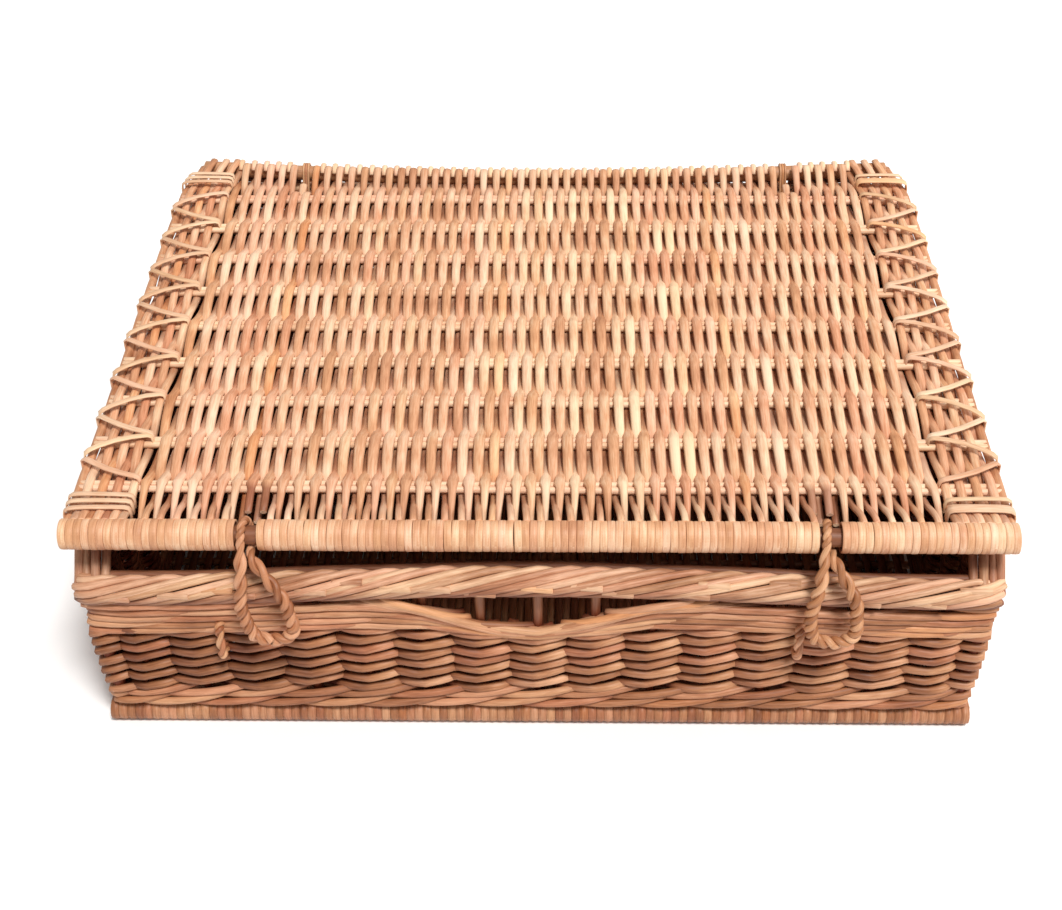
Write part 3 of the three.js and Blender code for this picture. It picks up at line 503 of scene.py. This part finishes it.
def lean(z):
    """How far up the wall a height is, as a share, which is also its share of the wall's lean."""
    return (np.asarray(z, float) - WALL_LOW) / (BORDER_FOOT - WALL_LOW)


def front_foot(x):
    """How high the front border stands on the wall: higher in the middle."""
    return 92 + 8 * np.cos(np.pi / 2 * np.minimum(np.abs(x) / 219.6, 1)) ** 2


warps = []
for x in (np.arange(15) - 7) * STAKE_PITCH:
    warps.append((x, 0, WALL_FRONT, FRONT_LEAN, 0, -1, "front"))
warps.append((WALL_SIDE, SIDE_LEAN, WALL_FRONT, FRONT_LEAN, SLANT, -SLANT, "front_corner"))
for y in (np.arange(11) - 5) * STAKE_PITCH + CENTRE_Y:
    warps.append((WALL_SIDE, SIDE_LEAN, y, 0, 1, 0, "side"))
warps.append((WALL_SIDE, SIDE_LEAN, WALL_BACK, BACK_LEAN, SLANT, SLANT, "back_corner"))
for x in (6.5 - np.arange(14)) * BACK_PITCH:
    warps.append((x, 0, WALL_BACK, BACK_LEAN, 0, 1, "back"))
warps.append((-WALL_SIDE, -SIDE_LEAN, WALL_BACK, BACK_LEAN, -SLANT, SLANT, "back_corner"))
for y in (5 - np.arange(11)) * STAKE_PITCH + CENTRE_Y:
    warps.append((-WALL_SIDE, -SIDE_LEAN, y, 0, -1, 0, "side"))
warps.append((-WALL_SIDE, -SIDE_LEAN, WALL_FRONT, FRONT_LEAN, -SLANT, -SLANT, "front_corner"))
WARPS = len(warps)
warp_numbers = np.array([w[:6] for w in warps], float)
warp_kinds = [w[6] for w in warps]


def weave_top(i):
    """How high the weaving reaches at a warp."""
    x, y, kind = warp_numbers[i][0], warp_numbers[i][2], warp_kinds[i]
    if kind == "front":
        return float(front_foot(x)) - 0.6
    if kind == "front_corner":
        return 91.4
    if kind == "side":
        return 108.4 - 9 * (1 - float(smooth(y + 172, 20, 70)))
    return 108.4


def slot_drop(x):
    """How far the slot's lower edge falls below the border."""
    return 21 * np.cos(np.pi / 2 * np.minimum(np.abs(np.asarray(x) + 3) / 76, 1)) ** 2


tops = np.array([weave_top(i) for i in range(WARPS)])


def trail(index, z, out):
    """Points on the walls: index counts warps and may lie between two, out is the distance outward."""
    index = np.asarray(index, float)
    low = np.floor(index).astype(int)
    share = (index - low)[:, None]
    numbers = warp_numbers[low % WARPS] * (1 - share) + warp_numbers[(low + 1) % WARPS] * share
    outward = unit(numbers[:, 4:6])
    at_x = numbers[:, 0] + numbers[:, 1] * lean(z) + outward[:, 0] * out
    at_y = numbers[:, 2] + numbers[:, 3] * lean(z) + outward[:, 1] * out
    return np.stack([at_x, at_y, np.broadcast_to(z, at_x.shape)], -1)


def blend_at(values, index):
    """A value that each warp has, read at an index that may lie between two warps."""
    low = np.floor(index).astype(int)
    share = index - low
    return values[low % WARPS] * (1 - share) + values[(low + 1) % WARPS] * share


ROW_COUNT, ROW_LOW, ROW_HIGH, STEPS = 13, 24.5, 72.5, 10
SIDE_ROWS, SIDE_LOW, SIDE_PITCH = 34, 24, 2.4
REACH = 4.1
# Along a row, from one warp that it passes inside, past the warp at 0 that it passes outside, to the next:
# how far out it lies, and how high it looks from the front and above, with a short fall and a long climb
OUTWARD = np.array([
    (-1, -1), (-0.78, -0.7), (-0.62, -0.1), (-0.5, 0.35), (-0.38, 0.7), (-0.2, 0.97), (-0.05, 1.0),
    (0.25, 0.97), (0.4, 0.7), (0.5, 0.35), (0.62, -0.1), (0.78, -0.7), (1, -1)])
LOOKS = np.array([(-1, 0.3), (-0.5, 0.2), (-0.07, -1.7), (0.5, 3.4), (0.75, 2.2), (1, 0.3)])


def softened(values):
    """The values, each drawn a little towards its two neighbours."""
    between = 0.25 * values[:-2] + 0.5 * values[1:-1] + 0.25 * values[2:]
    return np.concatenate([values[:1], between, values[-1:]])


def bowed(share, reach, power):
    """How far a rod bows outward that is tucked into the wall at both ends."""
    return reach * np.sin(np.pi * share) ** power


corner_share = np.array([kind.endswith("corner") for kind in warp_kinds], float)
front_share = np.array([kind == "front" for kind in warp_kinds], float)


def wall_row(rods, row, first, last, levels, roof):
    """One row of the wall: it falls to each warp that it passes outside, rises beyond it and dives inside."""
    index = np.linspace(first, last, int(last - first) * STEPS + 1)
    phase = (index + row + 0.05 * np.sin(index * 2.1 + row * 1.3)) % 2
    phase = np.where(phase > 1, phase - 2, phase)
    outward = softened(np.interp(phase, *OUTWARD.T))
    climb = np.interp(phase, *LOOKS.T) + 0.84 * REACH * (outward - 0.35)
    level = blend_at(levels, index)
    room = 0.15 + 0.85 * smooth(blend_at(roof, index) - level, 0, 6) * smooth(level, ROW_LOW - 3, ROW_LOW + 6)
    jitter = 0.3 * np.sin(index * 1.7 + row * 2.3) + 0.3 * np.sin(index * 0.61 + row)
    z = level + climb * room + jitter
    corner = blend_at(corner_share, index)
    path = trail(index, z, outward * (REACH + 1.4 * corner))
    own = random.uniform(0.4, 0.75)
    tones = own + 0.12 * np.sin(index * 0.9 + row * 1.9) + 0.1 * np.sin(index * 2.6 + row)
    # Right of each warp, where the row climbs, it is lighter: painted light. Left of it, where it falls, it
    # gets painted shade
    tones = tones + 0.2 * smooth(phase, 0, 0.4)
    falling_shade = 0.45 * (1 - smooth(phase, -0.16, 0.02)) * (phase > -0.8)
    shade = 0.05 + 0.72 * (1 - smooth(outward, -0.5, 0.75)) + 0.75 * falling_shade
    # The front wall is darker towards its left: painted shade
    tones = tones - 0.35 * (1 - smooth(path[:, 0], -190, -30)) * (path[:, 1] < -150)
    wide = (1.8 + 0.5 * smooth(outward, 0.0, 0.9)) * random.uniform(0.92, 1.06)
    rods.add(path, wide, tone=np.clip(tones, 0, 1), shade=np.clip(shade, 0, 1))


slot_at = np.array([slot_drop(w[0]) if w[6] == "front" else 0 for w in warps])
row_roof = np.where(front_share > 0, ROW_HIGH - 0.2 * slot_at, ROW_HIGH)
for word, low_row, high_row in (("lower", 0, 7), ("upper", 7, ROW_COUNT)):
    rods = Rods(f"wall_weaving_{word}")
    for row in range(low_row, high_row):
        levels = ROW_LOW + (row + 0.5) * (row_roof - ROW_LOW) / ROW_COUNT
        wall_row(rods, row, -2.1, 16.1, levels, row_roof)
    rods.piece("basket", "weave_willow", wall_willow, *(["wall_weave"] if word == "lower" else []))

for word, low_row, high_row in (("lower", 0, SIDE_ROWS // 2), ("upper", SIDE_ROWS // 2, SIDE_ROWS)):
    rods = Rods(f"wall_weaving_sides_{word}")
    for row in range(low_row, high_row):
        levels = np.minimum(SIDE_LOW + (row + 0.5) * SIDE_PITCH, tops - 2.5)
        wall_row(rods, row, 15.2, 53.8, levels, np.full(WARPS, 114.0))
    rods.piece("basket", "weave_willow", wall_willow)

# Rods laid along the outside of the sides and the back near their tops
rods = Rods("wall_weaving_top")
share = np.linspace(0, 1, 26)
for start in np.arange(14, 55, 1.5):
    index = start + 3.6 * share
    out = bowed(share, 6.6, 0.45) - 1.4
    z = blend_at(tops, index) - 3.2 + 1.6 * share + random.normal(0, 0.3)
    shade = 0.75 * (1 - smooth(out, 0, 4.2)) + 0.05
    rods.add(trail(index, z, out), 2.15, tone=random.uniform(0.35, 0.95), shade=shade)
# The courses under the front border: they fall below the slot in the middle
front_tops = np.array([front_foot(w[0]) for w in warps])
for course in range(4):
    edge = front_tops - 8.0 - slot_at * (1 - 0.075 * course) - 4.3 * course * (1 - 0.4 * slot_at / 20)
    for start in np.arange(-1.3 - 0.35 * course, 14.2, 1.3):
        index = start + 3.1 * share
        out = bowed(share, 6.2, 0.45) - 1.4
        z = blend_at(edge, index) + 1.4 * (share - 0.5) + random.normal(0, 0.3)
        shade = 0.8 * (1 - smooth(out, 0, 4.2)) + 0.05
        rods.add(trail(index, z, out), 2.0, tone=random.uniform(0.3, 0.95), shade=shade)
# Three long rods from each side sweep down along the slot's lower edge
share = np.linspace(0, 1, 34)
for side in (-1, 1):
    for lay, (far, near_end) in enumerate(((100, 14), (88, -12), (78, -34))):
        x = side * (-far + (far + near_end) * share)
        z = front_foot(x) - 6.8 - 1.04 * slot_drop(x) + 1.2 * lay - 2.0 * share * (side > 0)
        out = bowed(np.clip(share, 0.015, 0.985), 7.4, 0.35) - 1.6 + 0.3 * lay
        shade = 0.7 * (1 - smooth(out, 0, 4))
        rods.add(trail(x / STAKE_PITCH + 7, z, out), 1.95, tone=random.uniform(0.7, 1.0), shade=shade)
rods.piece("basket", "weave_willow", wall_willow)

# Two courses of slanting rods round the walls' foot
wale = Rods("wall_bottom_wale")
share = np.linspace(0, 1, 17)
for course, low in enumerate((13.4, 19.6)):
    for i in range(-7, WARPS - 7):
        index = i - 0.5 + 2.1 * share + 0.45 * course
        out = bowed(share, 8.2, 0.55) - 2.2 - 0.9 * course
        z = low + 9.0 * share - 1.0 + random.normal(0, 0.25)
        radius = 2.0 * random.uniform(0.95, 1.05)
        shade = 0.8 * (1 - smooth(out, 0, 5)) + 0.05
        wale.add(trail(index, z, out), radius, tone=random.uniform(0.25, 0.85), shade=shade)
# Three plain rods close the foot of the walls inside
around = np.arange(4 * WARPS) / 4
for z in (12.7, 16.6, 20.5):
    wale.add(trail(around, z, -3.2 + 0.5 * np.sin(around * math.pi)), 2.25, tone=0.5, shade=0.4, ring=True)
wale.piece("basket", "weave_willow", wall_willow)

stakes = Rods("wall_stakes")
for i in range(WARPS):
    corner = warp_kinds[i].endswith("corner")
    z = np.linspace(WALL_LOW - 0.2, tops[i] + (0 if corner else 5), 10)
    weave_end = tops[i] - slot_at[i]
    in_shade = 0.95 - (0.3 if slot_at[i] > 1 else 0.85) * smooth(z, weave_end - 4, weave_end + 2)
    path = trail(np.full(10, float(i)), z, 0.0)
    stakes.add(path, 3.5 if corner else 2.5, tone=random.uniform(0.3, 0.7), shade=in_shade)
posts = [f"corner_post_{end}_{hand}" for end in ("front", "back") for hand in ("left", "right")]
stakes.piece("basket", "stick_willow", stick_willow, *posts)


# The rolled border: the stakes' bent tops, each of which runs along the wall while it climbs round the roll

def roll(rods, place, span, low, high, length, spacing, radius):
    """Rods rolled round a border from low to high. place gives its middle and its outward way at a length."""
    start = low - length
    while start < high:
        share = np.linspace(0, 1, 27)
        along = start + length * share + random.normal(0, 1.5)
        keep = (along > low) & (along < high + random.uniform(-2.5, 0))
        if keep.sum() > 2:
            share, along = share[keep], along[keep]
            turn = np.radians(-90 + 205 * share + random.normal(0, 4))
            tight = 0.55 + 0.45 * smooth(share, 0.0, 0.14) * smooth(1 - share, 0.0, 0.12)
            middle, out = place(along)
            path = middle + out * (span[0] * tight * np.cos(turn))[:, None]
            path[:, 2] += span[1] * tight * np.sin(turn)
            # Each rod is lighter at the top of the roll, painted light, and darker under it, painted shade
            tone = random.uniform(0.35, 0.95) + 0.1 * np.sin(along / 15) + 0.12 * np.sin(turn)
            shade = 0.8 * (1 - smooth(np.sin(turn), -1.0, 0.3))
            rods.add(path, radius * random.uniform(0.9, 1.08), tone=np.clip(tone, 0, 1), shade=shade)
        start += spacing * random.uniform(0.88, 1.12)


def front_place(x):
    foot = front_foot(x)
    past = np.maximum((np.abs(x) - 217) / 10, 0) ** 2
    y = WALL_FRONT + FRONT_LEAN * lean(foot) + 4 * past
    return np.stack([x, y, foot + 4.8 - past], -1), np.array([0, -1.0, 0])


def back_place(x):
    y, z = np.full(len(x), BORDER_BACK), np.full(len(x), BORDER_Z)
    return np.stack([-x, y, z], -1), np.array([0, 1.0, 0])


def right_place(y):
    x, z = np.full(len(y), BORDER_SIDE), np.full(len(y), BORDER_Z)
    return np.stack([x, y, z], -1), np.array([1.0, 0, 0])


def left_place(y):
    x, z = np.full(len(y), -BORDER_SIDE), np.full(len(y), BORDER_Z)
    return np.stack([x, -y, z], -1), np.array([-1.0, 0, 0])


ROLL_WIDE, ROLL_DEEP, FRONT_DEEP = 6.8, 4.9, 6.8
ROD_LENGTH, ROD_SPACING = 104, 17.0
BORDERS = {
    "front": (front_place, -228.0, 228.0),
    "back": (back_place, -209.5, 209.5),
    "right": (right_place, -152.0, 187.5),
    "left": (left_place, -187.5, 152.0),
}
for word, (place, low, high) in BORDERS.items():
    rods = Rods(f"{word}_border_rods")
    deep = FRONT_DEEP if word == "front" else ROLL_DEEP
    roll(rods, place, (ROLL_WIDE, deep), low, high, ROD_LENGTH, ROD_SPACING - deep + ROLL_DEEP, 1.9)
    inner = np.linspace(low + 1, high - 1, 60)
    middle, out = place(inner)
    for degrees in (140, 185, 228):
        turn = math.radians(degrees)
        path = middle + out * 6.6 * math.cos(turn)
        path[:, 2] += (deep - 0.3) * math.sin(turn) + 0.3 * np.sin(inner / 17 + degrees)
        rods.add(path, 2.3, tone=random.uniform(0.3, 0.8), shade=0.3)
    # A dark core fills the middle of the roll: its colour is painted shade
    core = Rods(f"{word}_border_core")
    core.add(middle[3:-3], 5.2, deep - 1.5, out, 0.3, 0.8)
    if word == "front":
        # Short tips that stand out a little from the roll
        share = np.linspace(0, 1, 6)
        for x in np.arange(-214, 220, 23.0):
            x = x + random.uniform(-8, 8) + 15 * share
            turn = math.radians(random.uniform(-35, 60))
            middle, out = front_place(x)
            path = middle + out * ((6.4 + 1.3 * share) * math.cos(turn))[:, None]
            path[:, 2] += (6.4 + 1.0 * share) * math.sin(turn)
            rods.add(path, 1.9, tone=random.uniform(0.5, 1.0), shade=0.1)
    if word in ("left", "right"):
        # At the front corner the side border's rods bend down under the end of the front one
        hand = 1 if word == "right" else -1
        share = np.linspace(0, 1, 16)
        bend = smooth(share, 0.35, 1.0)
        for n, away in enumerate((212.6, 217.2, 221.8, 225.6)):
            y = -118 - 10 * (n % 2) - (59 - 10 * (n % 2)) * share**0.8
            z = 119.4 - 1.2 * abs(n - 1.2) - 18.5 * bend**1.6
            path = np.stack([hand * (away - 0.5 * share), y, z], -1)
            rods.add(path, 2.4, tone=random.uniform(0.5, 0.95), shade=0.4 * bend)
    rods.piece("basket", "border_willow", border_willow, f"{word}_stakes_and_border")
    core.piece("basket", "border_willow", core_willow)


# The base

BASE_LIFT, BASE_TURN, BASE_HALF = 3.1, 4.98, 0.78
BASE_PITCH, BASE_COUNT = 4.32, 104


def half_turn(y, z, radius, forward, start, end, count):
    """Points round an edge stick: forward is -1 for the front edge and 1 for the back one."""
    turn = np.radians(np.linspace(start, end, count))
    return y + forward * radius * np.cos(turn), z + radius * np.sin(turn)


def base_rod(rods, k, x):
    """One rod of the base, from under the front edge stick to under the back one."""
    sense = 1 if k % 2 == 0 else -1
    turn_y, turn_z = half_turn(BASE_FRONT, BASE_Z, BASE_TURN, -1, -120, 88, 10)
    path = [(x, y, z) for y, z in zip(turn_y, turn_z)]
    stops = [(BASE_FRONT, BASE_TURN)]
    stops += [(y, sense * (-1) ** i * BASE_LIFT) for i, y in enumerate(BASE_ROWS)]
    stops.append((BASE_BACK, BASE_TURN))
    for (y0, z0), (y1, z1) in zip(stops, stops[1:]):
        for share in (0.15, 0.3, 0.45, 0.6, 0.75, 0.9, 1.0):
            z = BASE_Z + z0 + (z1 - z0) * (1 - math.cos(math.pi * share)) / 2
            path.append((x, y0 + (y1 - y0) * share, z))
    path.pop()
    turn_y, turn_z = half_turn(BASE_BACK, BASE_Z, BASE_TURN, 1, 88, -120, 10)
    path += [(x, y, z) for y, z in zip(turn_y, turn_z)]
    rods.add(path, 2.35, BASE_HALF, (1, 0, 0), random.uniform(0.25, 0.85), 0.15, square=0.7)


base = Rods("base_weaving", 6)
for k in range(BASE_COUNT):
    base_rod(base, k, (k - (BASE_COUNT - 1) / 2) * BASE_PITCH)
base.piece("basket", "weave_willow", wall_willow, "base_weave")
base_sticks = Rods("base_stick_rods")
for y, radius in [(y, 2.2) for y in BASE_ROWS] + [(BASE_FRONT, 4.2), (BASE_BACK, 4.2)]:
    base_sticks.add([(x, y, BASE_Z) for x in np.linspace(-224, 224, 12)], radius, tone=0.5, shade=0.1)
# Two plain rods along each side close the join of base and wall
for hand in (-1, 1):
    for x, z, radius, shade in ((219.5, 9.0, 2.7, 0.3), (223.8, 6.4, 2.6, 0.1)):
        path = [(hand * x, y, z) for y in np.linspace(-166, 172.5, 12)]
        base_sticks.add(path, radius, tone=0.5, shade=shade)
base_sticks.piece("basket", "stick_willow", stick_willow, "base_front_edge_stick", "base_back_edge_stick",
                  *[f"base_stick_{i}" for i in range(1, 6)])


# The hinge rings, the staples and the fastening loops

def belt(circles, count=40):
    """The tight line round circles in the plane across the box: the furthest point in each direction."""
    points = []
    for turn in np.linspace(0, 2 * math.pi, count, endpoint=False):
        out = (math.cos(turn), math.sin(turn))
        y, z, radius = max(circles, key=lambda c: c[0] * out[0] + c[1] * out[1] + c[2])
        points.append((y + radius * out[0], z + radius * out[1]))
    return points


for place, word in zip(RING_PLACES, ("left", "right")):
    ring = Rods(f"hinge_ring_rods_{word}")
    circles = [(BORDER_BACK + side, z, 1.75) for side in (-9, 9) for z in (109, 123)]
    circles.append((LID_BACK, LID_Z, 5.8))
    for offset in (-1.5, 0, 1.5):
        path = [(place + offset, y, z) for y, z in belt(circles)]
        ring.add(path, 0.75, 0.75, (1, 0, 0), random.uniform(0.3, 0.7), ring=True)
    ring.piece("basket", "skein_willow", stick_willow, f"hinge_ring_{word}")


def curve_through(points, count):
    """A closed smooth line through points."""
    points = np.asarray(points, float)
    n = len(points)
    places = np.linspace(0, n, count, endpoint=False)
    low = np.floor(places).astype(int)
    t = (places - low)[:, None]
    a, b, c, d = (points[(low + k) % n] for k in (-1, 0, 1, 2))
    return 0.5 * (2 * b + (c - a) * t + (2 * a - 5 * b + 4 * c - d) * t**2 + (3 * b - a - 3 * c + d) * t**3)


def twisted_ring(rods, points, count, turns, radius, apart):
    """Two rods twisted round each other along a closed line."""
    line = curve_through(points, count)
    tangent = unit(np.roll(line, -1, 0) - np.roll(line, 1, 0))
    side = carried(tangent)
    up = np.cross(tangent, side)
    miss = math.atan2(np.dot(side[-1], np.cross(tangent[0], side[0])), np.dot(side[-1], side[0]))
    share = np.arange(count) / count
    # Round the lid's edge stick the two rods lie closer and are thinner
    loose = smooth(np.hypot(line[:, 1] - LID_FRONT, line[:, 2] - LID_Z), 8, 15)
    gap = (apart * (0.45 + 0.55 * loose))[:, None]
    for start in (0, math.pi):
        turn = start + (2 * math.pi * turns - miss) * share
        path = line + gap * (np.cos(turn)[:, None] * side + np.sin(turn)[:, None] * up)
        tone = (0.3 if start else 0.65) + 0.15 * np.sin(share * 20)
        rods.add(path, radius * (0.82 + 0.18 * loose), tone=tone, ring=True)


for place, word, tilt in zip(LOOP_PLACES, ("left", "right"), (9, 5)):
    y, z, radius = LID_FRONT, LID_Z, STICK_TURN
    hang, low, half, mid = -188.8, 76.9, 11.0, 99.0
    drop = mid - low
    points = [
        (tilt, hang, low),
        (tilt + 0.75 * half, hang, low + 0.12 * drop), (tilt + half, hang, low + 0.4 * drop),
        (0.8 * tilt + half, hang, low + 0.75 * drop), (0.75 * tilt + 0.95 * half, hang, mid + 3),
        (0.45 * tilt + 0.7 * half, hang + 1.5, mid + 13), (2.4, y - radius - 1.2, z - radius - 0.6),
        (1.7, y + 0.2 * radius, z - radius), (0.9, y + 0.75 * radius, z - 0.7 * radius), (0, y + radius, z),
        (-0.9, y + 0.72 * radius, z + 0.72 * radius), (-1.7, y, z + radius),
        (-2.1, y - 0.8 * radius, z + 0.65 * radius), (-2.4, y - radius - 1.2, z - 2),
        (0.2 * tilt - 0.45 * half, hang + 1.5, mid + 15), (0.5 * tilt - 0.8 * half, hang, mid + 3),
        (0.8 * tilt - half, hang, low + 0.75 * drop), (tilt - half, hang, low + 0.4 * drop),
        (tilt - 0.75 * half, hang, low + 0.12 * drop),
    ]
    loop = Rods(f"fastening_loop_rods_{word}")
    twisted_ring(loop, [(place + dx, py, pz) for dx, py, pz in points], 320, 15, 1.85, 1.65)
    loop.piece(f"loop_{word}", "loop_willow", loop_willow, f"fastening_loop_{word}")

for x, low, high, word in ((-157.85, 56.5, 79.0, "left"), (129.15, 58.0, 79.5, "right")):
    inner, outer = -166.8, -182.0
    points = [
        (x, inner, low + 3), (x, inner - 3, low + 1.6), (x, outer + 3, low + 1.6), (x, outer, low + 4.5),
        (x, outer, high - 4.5), (x, outer + 3, high - 1.6), (x, inner - 3, high - 1.6), (x, inner, high - 3),
    ]
    staple = Rods(f"staple_rods_{word}")
    twisted_ring(staple, points, 120, 7, 1.35, 1.15)
    staple.piece("basket", "loop_willow", loop_willow, f"staple_{word}")


# The floor, the light and the camera

bpy.ops.mesh.primitive_plane_add(size=12, location=(0, 0, 0))
floor = bpy.context.object
floor.name = "floor"
paper = bpy.data.materials.new("white floor")
paper.use_nodes = True
matt = paper.node_tree.nodes["Principled BSDF"]
matt.inputs["Base Color"].default_value = (0.95, 0.95, 0.95, 1)
matt.inputs["Roughness"].default_value = 0.9
floor.data.materials.append(paper)

world = bpy.data.worlds.new("white room")
bpy.context.scene.world = world
world.use_nodes = True
room = Wire(world.node_tree, None)
seen = room.made("ShaderNodeLightPath", {}, {}, "Is Camera Ray")
seen = seen + room.made("ShaderNodeLightPath", {}, {}, "Is Transmission Ray")
soft = room.made("ShaderNodeBackground", {}, {"Color": (1.0, 1.0, 1.0, 1), "Strength": 0.36})
white = room.made("ShaderNodeBackground", {}, {"Color": (1, 1, 1, 1), "Strength": 1.0})
mixed = room.made("ShaderNodeMixShader", {}, {0: seen, 1: soft, 2: white})
world.node_tree.links.new(mixed.socket, world.node_tree.nodes["World Output"].inputs["Surface"])


def aim(place, target):
    """The turn that points a light from its place at a target."""
    return (Vector(target) - Vector(place)).to_track_quat("-Z", "Y").to_euler()


sun = bpy.data.lights.new("high window", "SUN")
sun.energy = 3.0
sun.angle = math.radians(14)
sun.color = (1.0, 0.99, 0.97)
sky = bpy.data.objects.new("high window", sun)
bpy.context.scene.collection.objects.link(sky)
sky.rotation_euler = aim((0.42, -0.82, 1.8), (0, 0, 0))

pane = bpy.data.lights.new("side window", "AREA")
pane.shape = "RECTANGLE"
pane.size, pane.size_y = 0.9, 0.9
pane.energy = 9
side_window = bpy.data.objects.new("side window", pane)
bpy.context.scene.collection.objects.link(side_window)
side_window.location = (1.3, 0.2, 1.1)
side_window.rotation_euler = aim(side_window.location, (0, 0, 0.1))

yaw, pitch, tilt = math.radians(-1.165), math.radians(38.61), math.radians(-0.5)
ahead = Vector((math.sin(yaw) * math.cos(pitch), math.cos(yaw) * math.cos(pitch), -math.sin(pitch)))
level = Vector((math.cos(yaw), -math.sin(yaw), 0))
above = level.cross(ahead)
right = math.cos(tilt) * level + math.sin(tilt) * above
above = -math.sin(tilt) * level + math.cos(tilt) * above
camera = bpy.data.objects.new("camera", bpy.data.cameras.new("camera"))
camera.data.lens = 56.5
camera.data.sensor_width = 36
camera.matrix_world = Matrix((right, above, -ahead)).transposed().to_4x4()
camera.location = (0.0094, -0.7701, 0.6579)
bpy.context.scene.collection.objects.link(camera)
bpy.context.scene.camera = camera
bpy.context.scene.view_settings.view_transform = "Standard"
